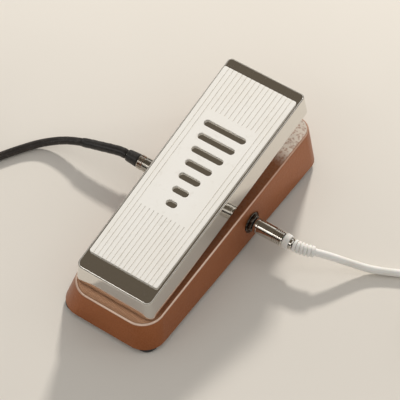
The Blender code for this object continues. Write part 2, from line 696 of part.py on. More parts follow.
def treadle():
    flare = 2 * TREADLE_DRAFT

    def outside(mesh):
        add_wedge(mesh, TREADLE_AHEAD, TREADLE_LENGTH + flare, TREADLE_WIDTH_HEEL + flare,
                  TREADLE_WIDTH_TOE + flare, RIM, TREADLE_TOP, TREADLE_TOP, TREADLE_DRAFT,
                  TREADLE_CORNER, 5, TREADLE_EDGE, 2)

    def inside(mesh):
        wall = 2 * TREADLE_WALL - flare
        add_wedge(mesh, TREADLE_AHEAD, TREADLE_LENGTH - wall, TREADLE_WIDTH_HEEL - wall,
                  TREADLE_WIDTH_TOE - wall, RIM - TREADLE_WALL / 4, TREADLE_UNDER,
                  TREADLE_UNDER, TREADLE_DRAFT, TREADLE_CORNER - TREADLE_WALL, 3)

    def lugs(mesh):
        root = TREADLE_UNDER + EMBED
        for _, side in SIDES:
            ear = sorted((side * EAR_INNER, side * (EAR_INNER + EAR_THICKNESS)))
            add_box(mesh, (ear[0], -EAR_HEEL, -EAR_BELOW), (ear[1], EAR_TOE, root))
            inner = RACK_WIDTH / 2 + SLIDE_GAP
            link = sorted((side * inner, side * (inner + RACK_EAR_THICKNESS)))
            add_box(mesh, (link[0], PIN_LOCAL[0] - RACK_EAR_HALF, PIN_LOCAL[1] - RACK_EAR_BELOW),
                    (link[1], PIN_LOCAL[0] + RACK_EAR_HALF, root))
        for (y, low), radius in ((STRIKER_LOCAL, STRIKER_RADIUS),
                                 (TOE_STOP_LOCAL, BUMPER_BOSS_RADIUS),
                                 (HEEL_STOP_LOCAL, BUMPER_BOSS_RADIUS)):
            add_rod(mesh, (0, y, low), root - low, radius, segments=SMALL)

    def holes(mesh):
        reach = 2 * (EAR_INNER + EAR_THICKNESS + PASS)
        add_rod(mesh, (-reach / 2, 0, 0), reach, BEARING_RADIUS, "X")
        wide = RACK_WIDTH + 2 * (SLIDE_GAP + RACK_EAR_THICKNESS + PASS)
        add_rod(mesh, (-wide / 2, *PIN_LOCAL), wide, RACK_PIN_RADIUS + SEAT, "X", SMALL)

    def screw_holes(mesh):
        for _, side in SIDES:
            x = side * (EAR_INNER + EAR_THICKNESS / 2)
            add_rod(mesh, (x, -EAR_HEEL - PASS, 0), EAR_HEEL + PASS - SHAFT_RADIUS + SEAT,
                    SET_SCREW_RADIUS + SEAT, "Y", SMALL)

    body = solid("treadle", outside, CHROME, parent=PIVOT)
    cut(body, "treadle_hollow", inside)
    join(body, "treadle_lugs", lugs)
    cut(body, "treadle_bores", holes)
    cut(body, "treadle_screw_holes", screw_holes)


def treadle_mat():
    heel = TREADLE_AHEAD - TREADLE_LENGTH / 2 + MAT_BAND_HEEL
    toe = TREADLE_AHEAD + TREADLE_LENGTH / 2 - MAT_BAND_TOE
    half_heel = TREADLE_WIDTH_HEEL / 2 - MAT_BAND_SIDE_HEEL
    half_toe = TREADLE_WIDTH_TOE / 2 - MAT_BAND_SIDE_TOE
    low = TREADLE_TOP + SEAT
    high = low + MAT_THICKNESS
    floor, over = high - GROOVE_DEPTH, high + PASS

    def half_at(y):
        return half_heel + (half_toe - half_heel) * (y - heel) / (toe - heel)

    def sheet(mesh):
        add_wedge(mesh, (heel + toe) / 2, toe - heel, 2 * half_heel, 2 * half_toe, low, high,
                  high, corner=MAT_CORNER, corner_steps=2)

    def grooves(mesh):
        for step in range(1 - GROOVE_STEPS, GROOVE_STEPS):
            share = step / GROOVE_STEPS
            runs = [(heel - PASS, toe + PASS)]
            if abs(step) < GROOVE_LONG_STEP:
                runs = [(heel - PASS, heel + PANEL_START), (heel + PANEL_END, toe + PASS)]
            for start, end in runs:
                add_strip(mesh, share * half_at(start), share * half_at(end), start, end,
                          GROOVE_WIDTH, floor, over)

    def bars(mesh):
        for index in range(BAR_COUNT):
            width = BAR_WIDTH_FIRST + (BAR_WIDTH_LAST - BAR_WIDTH_FIRST) * index / (BAR_COUNT - 1)
            bar = bmesh.new()
            add_wedge(bar, heel + BAR_START + index * BAR_PITCH, BAR_LENGTH, width, width,
                      low - PASS, over, over, corner=BAR_LENGTH * 0.49, corner_steps=4)
            piece = bpy.data.meshes.new("bar")
            bar.to_mesh(piece)
            bar.free()
            mesh.from_mesh(piece)
            bpy.data.meshes.remove(piece)

    mat = solid("treadle_mat", sheet, CREAM_RUBBER, parent=PIVOT)
    cut(mat, "mat_grooves", grooves)
    cut(mat, "mat_level_bars", bars)


# Pivot ------------------------------------------------------------------------------------------
def pivot():
    def shaft(mesh):
        add_rod(mesh, (-SHAFT_LENGTH / 2, 0, 0), SHAFT_LENGTH, SHAFT_RADIUS, "X", MEDIUM)

    solid("pivot_shaft", shaft, STEEL, parent=PIVOT)
    top = POST_THICKNESS + SEAT + BUSHING_FLANGE
    flange = top - BUSHING_FLANGE
    profile = [(BUSHING_FLANGE_RADIUS, top), (BUSHING_FLANGE_RADIUS, flange),
               (BUSHING_RADIUS, flange), (BUSHING_RADIUS, 0.0), (BEARING_RADIUS, 0.0),
               (BEARING_RADIUS, top)]
    length = EAR_HEEL + SET_SCREW_STANDOUT - SHAFT_RADIUS - SEAT
    for name, side in SIDES:
        turned("pivot_bushing_" + name, profile, NYLON, ring=True,
               at=(side * POST_INNER, PIVOT_Y, PIVOT_Z),
               turn=Matrix.Rotation(side * math.pi / 2, 4, "Y"))
        x = side * (EAR_INNER + EAR_THICKNESS / 2)

        def grub(mesh, x=x):
            add_rod(mesh, (x, -EAR_HEEL - SET_SCREW_STANDOUT, 0), length, SET_SCREW_RADIUS,
                    "Y", SMALL)

        solid("shaft_set_screw_" + name, grub, STEEL, parent=PIVOT)

    def block(mesh):
        add_box(mesh, (-TENSION_WIDTH / 2, -TENSION_DEPTH / 2, TENSION_PAD_Z + SEAT - PIVOT_Z),
                (TENSION_WIDTH / 2, TENSION_DEPTH / 2, -SHAFT_RADIUS / 2))

    def saddle(mesh):
        reach = TENSION_WIDTH / 2 + PASS
        add_rod(mesh, (-reach, 0, 0), 2 * reach, BEARING_RADIUS, "X", MEDIUM)

    nylon = solid("tension_block", block, NYLON, at=(0, PIVOT_Y, PIVOT_Z))
    cut(nylon, "tension_saddle", saddle, at=(0, PIVOT_Y, PIVOT_Z))
    shank = TENSION_PAD_Z - TENSION_SCREW_LOW - TENSION_SCREW_HEAD
    screw("tension_screw", TENSION_SCREW_HEAD_RADIUS, TENSION_SCREW_HEAD, TENSION_SCREW_RADIUS,
          shank, TENSION_SCREW_LOW, (0, PIVOT_Y))


# Rack, pinion and potentiometer -----------------------------------------------------------------
def involute(angle):
    return math.tan(angle) - angle


def pinion_outline():
    """Involute teeth, one of them pointing at the rack."""
    base = PITCH_RADIUS * math.cos(PRESSURE_ANGLE)
    half_at_pitch = (TOOTH_PITCH / 2 - BACKLASH) / 2 / PITCH_RADIUS
    root, tip = PITCH_RADIUS - DEDENDUM, PITCH_RADIUS + ADDENDUM

    def half_angle(radius):
        pressure = math.acos(min(1.0, base / radius))
        return half_at_pitch + involute(PRESSURE_ANGLE) - involute(pressure)

    flank = [(root, half_angle(base)), (base, half_angle(base)),
             (PITCH_RADIUS, half_at_pitch), (tip, half_angle(tip))]
    points = []
    for tooth in range(PINION_TEETH):
        middle = math.pi + 2 * math.pi * tooth / PINION_TEETH
        sides = [(radius, middle - half) for radius, half in flank]
        sides += [(radius, middle + half) for radius, half in reversed(flank)]
        points += [(radius * math.cos(angle), radius * math.sin(angle)) for radius, angle in sides]
    return points


def rack_outline():
    """The rack in local (Y, Z) about its pin, with a gap between teeth facing the pinion."""
    slope = math.tan(PRESSURE_ANGLE)
    half = (TOOTH_PITCH / 2 - BACKLASH) / 2
    tip_y, root_y = RACK_FRONT + ADDENDUM, RACK_FRONT - DEDENDUM
    gap_z = PINION_Z - PIN_Z
    front = []
    for tooth in range(RACK_TEETH):
        middle = gap_z + (tooth - 0.5) * TOOTH_PITCH
        front += [(root_y, middle - half - DEDENDUM * slope),
                  (tip_y, middle - half + ADDENDUM * slope),
                  (tip_y, middle + half - ADDENDUM * slope),
                  (root_y, middle + half + DEDENDUM * slope)]
    bottom = RACK_BOTTOM - PIN_Z
    return [(-RACK_BACK, bottom), (root_y, bottom), *front, (root_y, -RACK_HEAD * 2),
            (RACK_BACK, -RACK_HEAD), (RACK_BACK, RACK_HEAD), (-RACK_BACK, RACK_HEAD)]


def rack_and_pinion():
    hole = circle(RACK_HOLE_RADIUS, SMALL)
    flat("gear_rack", [rack_outline(), hole], RACK_WIDTH, NYLON, turn=OUTLINE_IN_YZ,
         parent=RACK_FRAME)

    def pin(mesh):
        add_rod(mesh, (-RACK_PIN_LENGTH / 2, *PIN_LOCAL), RACK_PIN_LENGTH, RACK_PIN_RADIUS,
                "X", SMALL)

    solid("rack_pin", pin, STEEL, parent=PIVOT)
    bore = circle(POT_SHAFT_RADIUS + SEAT, SMALL)
    flat("pinion_gear", [pinion_outline(), bore], PINION_WIDTH, NYLON, turn=OUTLINE_IN_YZ,
         parent=PINION_FRAME)
    left = -PINION_WIDTH / 2 - 2 * SEAT
    right = POT_FACE_X + POT_SHAFT_DEPTH

    def shaft(mesh):
        add_rod(mesh, (left, 0, 0), right - left, POT_SHAFT_RADIUS, "X", SMALL)

    solid("pot_shaft", shaft, NICKEL, parent=PINION_FRAME)
    slot = RACK_WIDTH / 2 + SLIDE_GAP
    back = RACK_Y - RACK_BACK - SLIDE_GAP
    front = back + GUIDE_CHEEK
    outer = (-slot - GUIDE_CHEEK, BRACKET_X - SEAT)
    channel = [(outer[0], back - GUIDE_WALL), (outer[1], back - GUIDE_WALL), (outer[1], front),
               (slot, front), (slot, back), (-slot, back), (-slot, front), (outer[0], front)]
    flat("rack_guide", [channel], GUIDE_HIGH - GUIDE_LOW, NYLON,
         at=(0, 0, (GUIDE_LOW + GUIDE_HIGH) / 2))


def potentiometer():
    axis = (PINION_Y, PINION_Z)

    def upright(mesh):
        add_box(mesh, (BRACKET_X, BRACKET_HEEL, BRACKET_LOW),
                (BRACKET_X + BRACKET_SHEET, BRACKET_TOE, BRACKET_TOP))

    def flange(mesh):
        add_box(mesh, (FLANGE_LEFT, FLANGE_HEEL, BRACKET_TOP - BRACKET_SHEET),
                (BRACKET_X + BRACKET_SHEET / 2, BRACKET_TOE, BRACKET_TOP))

    def holes(mesh):
        add_rod(mesh, (BRACKET_X - PASS, *axis), BRACKET_SHEET + 2 * PASS,
                POT_BUSH_RADIUS + SEAT, "X", SMALL)
        add_rod(mesh, (BRACKET_SCREW_X, BRACKET_SCREW_Y, BRACKET_TOP - BRACKET_SHEET - PASS),
                BRACKET_SHEET + 2 * PASS, SMALL_SCREW_RADIUS + SEAT, segments=SMALL)

    bracket = solid("pot_bracket", upright, STEEL)
    join(bracket, "bracket_flange", flange)
    cut(bracket, "bracket_holes", holes)
    screw("pot_bracket_screw", SMALL_SCREW_HEAD_RADIUS, SMALL_SCREW_HEAD, SMALL_SCREW_RADIUS,
          SEAT * 2 + BRACKET_SHEET + SMALL_SCREW_BITE - SEAT,
          BRACKET_TOP - BRACKET_SHEET - SEAT - SMALL_SCREW_HEAD,
          (BRACKET_SCREW_X, BRACKET_SCREW_Y))

    def can(mesh):
        add_rod(mesh, (POT_FACE_X, *axis), POT_DEPTH, POT_RADIUS, "X", MEDIUM)

    def bush(mesh):
        add_rod(mesh, (POT_FACE_X - POT_BUSH_REACH, *axis), POT_BUSH_REACH + EMBED,
                POT_BUSH_RADIUS, "X", SMALL)

    def wafer(mesh):
        add_box(mesh, (POT_FACE_X + EMBED, axis[0] - POT_RADIUS * 0.7, axis[1] - TERMINAL_DROP),
                (POT_FACE_X + 2 * EMBED, axis[0] + POT_RADIUS * 0.7, axis[1]))

    def bore(mesh):
        add_rod(mesh, (POT_FACE_X - POT_BUSH_REACH - PASS, *axis),
                POT_BUSH_REACH + PASS + POT_SHAFT_DEPTH + SEAT, POT_SHAFT_RADIUS + SEAT,
                "X", SMALL)

    body = solid("pot_body", can, NICKEL)
    join(body, "pot_bush", bush)
    join(body, "pot_wafer", wafer)
    cut(body, "pot_bore", bore)

    def nut(mesh):
        add_rod(mesh, (BRACKET_X - SEAT - POT_NUT_THICKNESS, *axis), POT_NUT_THICKNESS,
                POT_NUT_RADIUS, "X", 6)

    def thread(mesh):
        add_rod(mesh, (BRACKET_X - SEAT - POT_NUT_THICKNESS - PASS, *axis),
                POT_NUT_THICKNESS + 2 * PASS, POT_BUSH_RADIUS + SEAT, "X", SMALL)

    hexagon = solid("pot_nut", nut, NICKEL)
    cut(hexagon, "pot_nut_thread", thread)


# Toe switch and bumpers -------------------------------------------------------------------------
def toe_switch():
    half_x, half_y = SWITCH_WIDTH / 2, SWITCH_LENGTH / 2
    top = base_top(SWITCH_Y - half_y) - BASE_WALL - SEAT
    low = top - SWITCH_HEIGHT

    def case(mesh):
        add_box(mesh, (-half_x, SWITCH_Y - half_y, low), (half_x, SWITCH_Y + half_y, top))

    def bush(mesh):
        add_rod(mesh, (0, SWITCH_Y, top - EMBED), SWITCH_BUSH_TOP - top + EMBED,
                SWITCH_BUSH_RADIUS)

    def tabs(mesh):
        for column in (-1, 0, 1):
            for row in (-1, 1):
                x, y = column * half_x * 0.6, SWITCH_Y + row * half_y * 0.5
                add_box(mesh, (x - EMBED / 2, y - EMBED, low - 3 * EMBED),
                        (x + EMBED / 2, y + EMBED, low + EMBED))

    def bore(mesh):
        add_rod(mesh, (0, SWITCH_Y, SWITCH_BORE_FLOOR), SWITCH_BUSH_TOP + PASS - SWITCH_BORE_FLOOR,
                PLUNGER_RADIUS + SLIDE_GAP)

    body = solid("toe_switch_body", case, BLACK_PLASTIC)
    join(body, "switch_bush", bush)
    join(body, "switch_tabs", tabs)
    cut(body, "switch_bore", bore)
    nut_low = base_top(SWITCH_Y + SWITCH_NUT_RADIUS) + SEAT

    def nut(mesh):
        add_rod(mesh, (0, SWITCH_Y, nut_low), SWITCH_NUT_THICKNESS, SWITCH_NUT_RADIUS,
                segments=6)

    def thread(mesh):
        add_rod(mesh, (0, SWITCH_Y, nut_low - PASS), SWITCH_NUT_THICKNESS + 2 * PASS,
                SWITCH_BUSH_RADIUS + SEAT)

    hexagon = solid("toe_switch_nut", nut, NICKEL)
    cut(hexagon, "switch_nut_thread", thread)
    bottom = SWITCH_BORE_FLOOR + SEAT + PLUNGER_TRAVEL - PLUNGER_TOP
    rim = PLUNGER_RADIUS * 0.8
    turned("toe_switch_plunger", [(0.0, 0.0), (rim, 0.0), (PLUNGER_RADIUS, rim - PLUNGER_RADIUS),
                                  (PLUNGER_RADIUS, bottom), (0.0, bottom)],
           NICKEL, parent=PLUNGER_FRAME)


def bumpers():
    for name, y, radius, height, level in (
            ("heel_bumper", HEEL_BUMPER_Y, HEEL_BUMPER_RADIUS, HEEL_BUMPER_HEIGHT, HEEL_PAD_Z),
            ("toe_bumper", TOE_BUMPER_Y, TOE_BUMPER_RADIUS, TOE_BUMPER_HEIGHT, TOE_PAD_Z)):
        dome = [(0.0, height), (radius * 0.4, height - radius * 0.03),
                (radius * 0.75, height - radius * 0.16), (radius, height - radius * 0.4),
                (radius, 0.0), (0.0, 0.0)]
        turned(name, dome, BLACK_RUBBER, at=(0, y, level + SEAT))


# Circuit board and battery ----------------------------------------------------------------------
def electronics():
    screws = (("heel", BOARD_SCREW_HEEL), ("toe", BOARD_SCREW_TOE))

    def board(mesh):
        add_box(mesh, (BOARD_LEFT, BOARD_HEEL, BOARD_Z),
                (BOARD_RIGHT, BOARD_TOE, BOARD_Z + BOARD_THICKNESS))

    def holes(mesh):
        for _, y in screws:
            add_rod(mesh, (BOARD_SCREW_X, y, BOARD_Z - PASS), BOARD_THICKNESS + 2 * PASS,
                    SMALL_SCREW_RADIUS + SEAT, segments=SMALL)

    sheet = solid("circuit_board", board, GREEN_BOARD)
    cut(sheet, "board_holes", holes)
    for name, y in screws:
        screw("board_screw_" + name, SMALL_SCREW_HEAD_RADIUS, SMALL_SCREW_HEAD,
              SMALL_SCREW_RADIUS, BOARD_THICKNESS + SEAT + SMALL_SCREW_BITE,
              BOARD_Z - SEAT - SMALL_SCREW_HEAD, (BOARD_SCREW_X, y))
    seat = BOARD_Z + BOARD_THICKNESS + SEAT
    middle = (BOARD_LEFT + BOARD_RIGHT) / 2
    right = BOARD_RIGHT - 2 * CAPACITOR_RADIUS
    cans = (("inductor", INDUCTOR_RADIUS, INDUCTOR_HEIGHT, (right, INDUCTOR_Y), NICKEL),
            ("capacitor", CAPACITOR_RADIUS, CAPACITOR_HEIGHT, (right, CAPACITOR_Y), BATTERY_CASE),
            ("transistor_heel", TRANSISTOR_RADIUS, TRANSISTOR_HEIGHT,
             (middle, TRANSISTOR_HEEL_Y), NICKEL),
            ("transistor_toe", TRANSISTOR_RADIUS, TRANSISTOR_HEIGHT,
             (middle, TRANSISTOR_TOE_Y), NICKEL))
    for name, radius, height, (x, y), skin in cans:
        turned(name, [(0.0, height), (radius * 0.8, height), (radius, height - radius * 0.2),
                      (radius, 0.0), (0.0, 0.0)], skin, steps=SMALL, at=(x, y, seat))
    right = BATTERY_LEFT + BATTERY_WIDTH
    toe = BATTERY_HEEL + BATTERY_LENGTH
    mid_z = PLATE_ROOM + BATTERY_HEIGHT / 2
    studs = (BATTERY_LEFT + BATTERY_WIDTH * 0.27, BATTERY_LEFT + BATTERY_WIDTH * 0.73)
    radius = BATTERY_HEIGHT * 0.2

    def case(mesh):
        add_box(mesh, (BATTERY_LEFT, BATTERY_HEEL, PLATE_ROOM),
                (right, toe, PLATE_ROOM + BATTERY_HEIGHT))
        bmesh.ops.bevel(mesh, geom=[edge for edge in mesh.edges
                                    if abs(edge.verts[0].co.y - edge.verts[1].co.y) > EMBED],
                        offset=EMBED * 1.5, segments=2, profile=0.5, affect="EDGES")

    def terminals(mesh):
        for x in studs:
            add_rod(mesh, (x, toe - EMBED, mid_z), EMBED + STUD_HEIGHT, radius, "Y", SMALL)

    battery = solid("battery", case, BATTERY_CASE)
    join(battery, "battery_studs", terminals)

    def snap(mesh):
        add_box(mesh, (BATTERY_LEFT + EMBED, toe + SEAT, PLATE_ROOM + 2 * EMBED),
                (right - EMBED, toe + SEAT + SNAP_THICKNESS,
                 PLATE_ROOM + BATTERY_HEIGHT - 2 * EMBED))

    def sockets(mesh):
        for x in studs:
            add_rod(mesh, (x, toe - PASS, mid_z), PASS + STUD_HEIGHT + SEAT, radius + SEAT,
                    "Y", SMALL)

    clip = solid("battery_snap", snap, BLACK_PLASTIC)
    cut(clip, "snap_sockets", sockets)


# Jacks ------------------------------------------------------------------------------------------
def jacks():
    for name, side in SIDES:
        axis = (JACK_Y, JACK_Z)
        turn = Matrix.Rotation(side * math.pi / 2, 4, "Y")
        body_face = side * (JACK_PAD_X - SEAT)
        bush_end = side * (PLUG_FACE_X - SEAT)
        back = body_face - side * JACK_BODY_DEPTH

        def case(mesh, ends=sorted((body_face, back))):
            add_box(mesh, (ends[0], JACK_Y - JACK_BODY_HALF, JACK_Z - JACK_BODY_HALF),
                    (ends[1], JACK_Y + JACK_BODY_HALF, JACK_Z + JACK_BODY_HALF))

        def bush(mesh, ends=sorted((body_face - side * EMBED, bush_end)), axis=axis):
            add_rod(mesh, (ends[0], *axis), ends[1] - ends[0], JACK_BUSH_RADIUS, "X")

        def bore(mesh, ends=sorted((back + side * EMBED, bush_end + side * PASS)), axis=axis):
            add_rod(mesh, (ends[0], *axis), ends[1] - ends[0], JACK_BORE_RADIUS, "X")

        body = solid("jack_body_" + name, case, BLACK_PLASTIC)
        join(body, "jack_bush_" + name, bush)
        cut(body, "jack_bore_" + name, bore)
        hole = JACK_BUSH_RADIUS + SEAT
        washer = [(JACK_WASHER_RADIUS, JACK_WASHER_THICKNESS), (JACK_WASHER_RADIUS, 0.0),
                  (hole, 0.0), (hole, JACK_WASHER_THICKNESS)]
        turned("jack_washer_" + name, washer, DARK_STEEL, ring=True, turn=turn,
               at=(side * (JACK_SEAT_X + SEAT), *axis))
        near = side * (JACK_SEAT_X + 2 * SEAT + JACK_WASHER_THICKNESS)

        def nut(mesh, near=near, side=side, axis=axis):
            start = min(near, near + side * JACK_NUT_THICKNESS)
            add_rod(mesh, (start, *axis), JACK_NUT_THICKNESS, JACK_NUT_RADIUS, "X", 6)

        def thread(mesh, near=near, side=side, axis=axis):
            start = min(near, near + side * JACK_NUT_THICKNESS) - PASS
            add_rod(mesh, (start, *axis), JACK_NUT_THICKNESS + 2 * PASS, hole, "X")

        hexagon = solid("jack_nut_" + name, nut, DARK_STEEL)
        cut(hexagon, "jack_nut_thread_" + name, thread)


# Leads: plugs -----------------------------------------------------------------------------------
def plug_tip():
    """The quarter-inch tip, from the barrel's face down to its point."""
    sleeve, ring, ball = -0.0215, -0.0235, -0.0262
    radius = PLUG_TIP_RADIUS
    return [(radius, 0.0), (radius, sleeve), (radius * 0.9, sleeve - 0.0004),
            (radius * 0.72, ring), (radius * 0.98, ball), (radius * 0.5, -0.0296),
            (0.0, -PLUG_TIP_LENGTH)]


def right_barrel():
    """Bright barrel: back flange, neck under the collar, three knurl grooves, square front."""
    end, radius = RIGHT_BARREL, RIGHT_BARREL_RADIUS
    neck_top = end + RIGHT_COLLAR + 2 * SEAT
    points = [(0.0, neck_top + RIGHT_FLANGE), (RIGHT_NECK_RADIUS * 1.3, neck_top + RIGHT_FLANGE),
              (RIGHT_NECK_RADIUS * 1.3, neck_top), (RIGHT_NECK_RADIUS, neck_top),
              (RIGHT_NECK_RADIUS, end), (radius, end)]
    for groove in range(PLUG_GROOVES):
        top = end - PLUG_GROOVE_PITCH * (groove + 0.5)
        points += [(radius, top), (radius - PLUG_GROOVE / 2, top - PLUG_GROOVE / 2),
                   (radius, top - PLUG_GROOVE)]
    return points + [(radius, PLUG_CHAMFER), (radius - PLUG_CHAMFER, 0.0)]


def left_barrel():
    end, radius = LEFT_BARREL, LEFT_BARREL_RADIUS
    neck_top = end + LEFT_COLLAR + 2 * SEAT
    return [(0.0, neck_top), (LEFT_NECK_RADIUS, neck_top), (LEFT_NECK_RADIUS, end),
            (radius * 0.92, end), (radius, end - PLUG_GROOVE), (radius, end - 3 * PLUG_GROOVE),
            (radius * 0.92, end - 4 * PLUG_GROOVE), (radius, end - 5 * PLUG_GROOVE),
            (radius, PLUG_CHAMFER), (radius - PLUG_CHAMFER, 0.0)]


def collar(name, length, radius_near, radius_far, bore, start, skin, **where):
    profile = [(radius_far * 0.92, start + length), (radius_far, start + length * 0.9),
               (radius_near, start + length * 0.2), (radius_near * 0.96, start), (bore, start),
               (bore, start + length)]
    turned(name, profile, skin, ring=True, **where)


# Leads: routes ----------------------------------------------------------------------------------
# Each route is a list of points chosen by hand, from the plug to where the coil begins.
RIGHT_ROUTE = [(0.1033, 0.0257, 0.0193), (0.1100, 0.0289, 0.0178), (0.1178, 0.0328, 0.0152),
               (0.1268, 0.0373, 0.0115), (0.1357, 0.0418, 0.0080), (0.1443, 0.0461, 0.0052),
               (0.1537, 0.0507, 0.0038), (0.1684, 0.0582, 0.00335), (0.1875, 0.0672, 0.00335),
               (0.2060, 0.0760, 0.00335), (0.2240, 0.0846, 0.00335)]
LEFT_ROUTE = [(-0.0796, 0.0220, 0.0200), (-0.0860, 0.0217, 0.0198), (-0.0930, 0.0203, 0.0192),
              (-0.1044, 0.0179, 0.0176), (-0.1160, 0.0157, 0.0156), (-0.1260, 0.0140, 0.0129),
              (-0.1377, 0.0104, 0.0095), (-0.1482, 0.0045, 0.0064), (-0.1571, -0.0034, 0.0045),
              (-0.1640, -0.0125, 0.0037), (-0.1700, -0.0220, 0.0036), (-0.1757, -0.0320, 0.0036),
              (-0.1845, -0.0475, 0.0036), (-0.1935, -0.0635, 0.0036), (-0.2000, -0.0750, 0.0036)]


def smooth_route(points, samples=24):
    """A centripetal curve through the points, as many close points."""
    points = [Vector(point) for point in points]
    ends = [2 * points[0] - points[1], *points, 2 * points[-1] - points[-2]]
    line = []
    for a, b, c, d in zip(ends, ends[1:], ends[2:], ends[3:]):
        t1 = math.sqrt((b - a).length)
        t2 = t1 + math.sqrt((c - b).length)
        t3 = t2 + math.sqrt((d - c).length)
        for index in range(samples):
            t = t1 + (t2 - t1) * index / samples
            ab = a.lerp(b, t / t1)
            bc = b.lerp(c, (t - t1) / (t2 - t1))
            cd = c.lerp(d, (t - t2) / (t3 - t2))
            low = ab.lerp(bc, t / t2)
            high = bc.lerp(cd, (t - t1) / (t3 - t1))
            line.append(low.lerp(high, (t - t1) / (t2 - t1)))
    line.append(points[-1])
    return line


def lengths_along(line):
    total = [0.0]
    for a, b in zip(line, line[1:]):
        total.append(total[-1] + (b - a).length)
    return total


def point_at(line, total, distance):
    index = min(max(np.searchsorted(total, distance) - 1, 0), len(line) - 2)
    span = total[index + 1] - total[index]
    return line[index].lerp(line[index + 1], (distance - total[index]) / span)


def direction_at(line, total, distance):
    step = 0.0005
    start = max(distance - step, 0.0)
    end = min(distance + step, total[-1])
    return (point_at(line, total, end) - point_at(line, total, start)).normalized()


def stretch(line, start, end, diameter):
    """Evenly spaced points from start to end along the line, straight for a diameter at each end."""
    total = lengths_along(line)
    first, last = point_at(line, total, start), point_at(line, total, end)
    inner_start, inner_end = start + diameter, end - diameter
    count = max(2, round((inner_end - inner_start) / (TUBE_STEP * diameter)))
    middle = [point_at(line, total, inner_start + (inner_end - inner_start) * i / count)
              for i in range(1, count)]
    return [first, first + diameter * direction_at(line, total, start), *middle,
            last - diameter * direction_at(line, total, end), last]


def tube(name, points, radius, resolution, skin, radii=None):
    curve = bpy.data.curves.new(name, "CURVE")
    curve.dimensions = "3D"
    curve.bevel_depth = radius
    curve.bevel_resolution = resolution
    curve.use_fill_caps = True
    curve.resolution_u = 1
    curve.render_resolution_u = 0
    curve.materials.append(skin)
    spline = curve.splines.new("POLY")
    spline.points.add(len(points) - 1)
    for index, point in enumerate(points):
        spline.points[index].co = (*point, 1.0)
        spline.points[index].radius = radii[index] / radius if radii else 1.0
    obj = bpy.data.objects.new(name, curve)
    PARTS.objects.link(obj)
    return obj


def coil_points(start, heading, spin, diameter, rest_z, plug_z):
    """A neat coil in two layers: it spirals in, climbs where it reverses, and spirals out.

    start is where the lead first touches the coil's outer turn, heading is its direction there,
    and spin is 1 for a coil that turns left and -1 for one that turns right. The lead then
    leaves the top layer, comes down to the floor and runs straight into the far plug.
    """
    pitch = diameter + COIL_AIR
    half_turns = COIL_TURNS / 2
    outer = COIL_MEAN_RADIUS + pitch * half_turns / 2
    inner = COIL_MEAN_RADIUS - pitch * half_turns / 2
    flat_heading = Vector((heading.x, heading.y, 0.0)).normalized()
    outward = Vector((flat_heading.y * spin, -flat_heading.x * spin, 0.0))
    centre = Vector((start.x, start.y, 0.0)) - outward * outer
    count = round(COIL_TURNS * COIL_POINTS)
    points = []
    for index in range(count + 1):
        turns = index / COIL_POINTS
        away = abs(turns - half_turns) / half_turns
        radius = inner + (outer - inner) * away
        climb = min(max((turns - half_turns) * 2 + 0.5, 0.0), 1.0)
        level = rest_z + pitch * climb * climb * (3 - 2 * climb)
        spoke = Matrix.Rotation(spin * 2 * math.pi * turns, 3, "Z") @ outward
        points.append(centre + spoke * radius + Vector((0, 0, level)))
    leave = (Matrix.Rotation(spin * 2 * math.pi * COIL_TURNS, 3, "Z") @ flat_heading)
    last = points[-1]
    clear = COIL_TAIL * 0.55
    for step in range(1, 6):
        run = COIL_TAIL * step / 5
        drop = min(max((run - clear) / (COIL_TAIL - diameter - clear), 0.0), 1.0)
        level = last.z + (plug_z - last.z) * drop * drop * (3 - 2 * drop)
        points.append(Vector((last.x, last.y, 0.0)) + leave * run + Vector((0, 0, level)))
    end = points.pop()
    points.append(end - leave * diameter)
    points.append(end)
    return points, leave


def least_gap(points, diameter):
    """Least gap between stretches of the tube that aren't neighbours along it."""
    line = [Vector(point) for point in points]
    total = lengths_along(line)
    count = int(total[-1] / 0.002)
    spots = np.array([point_at(line, total, total[-1] * i / count) for i in range(count + 1)])
    along = np.arange(count + 1) * total[-1] / count
    apart = np.linalg.norm(spots[:, None] - spots[None], axis=2)
    apart[np.abs(along[:, None] - along[None]) < 6 * diameter] = 1.0
    return apart.min() - diameter


def lead(prefix, route, diameter, spin, skin, cuts, plug_radius):
    """Free stretch, coil and far end of a lead. cuts are where the route's tubes part."""
    line = smooth_route(route)
    total = lengths_along(line)
    half = SEAT / 2
    end = total[-1]
    tube(prefix + "_lead_cord", stretch(line, cuts + half, end - half, diameter),
         diameter / 2, 2, skin)
    heading = direction_at(line, total, end)
    rest_z = diameter / 2 + FLOOR_AIR
    plug_z = plug_radius + FLOOR_AIR
    begin = line[-1] + heading * half
    touch = begin + heading * diameter
    points, leave = coil_points(touch, heading, spin, diameter, rest_z, plug_z)
    points = [begin, *points]
    tube(prefix + "_lead_coil", points, diameter / 2, 1, skin)
    coil_length = lengths_along([Vector(point) for point in points])[-1]
    print(f"{prefix} lead: {end - cuts:.3f} m free, {coil_length:.3f} m in the coil, "
          f"least gap {1000 * least_gap(points, diameter):.2f} mm")
    return line, points[-1], leave


def far_plug(name, barrel, back, place_at, leave, skin):
    """A loose plug lying on the floor, its back to the lead, as one turned piece."""
    profile = [(radius, height) for radius, height in barrel if height <= back]
    profile = [(0.0, back), (profile[0][0] if profile[0][0] else profile[1][0], back)] \
        + [point for point in profile if point[0] and point[1] < back]
    turn = (-leave).to_track_quat("Z", "Y").to_matrix().to_4x4()
    at = place_at + leave * (back + SEAT)
    turned(name, profile + plug_tip(), skin, at=at, turn=turn)


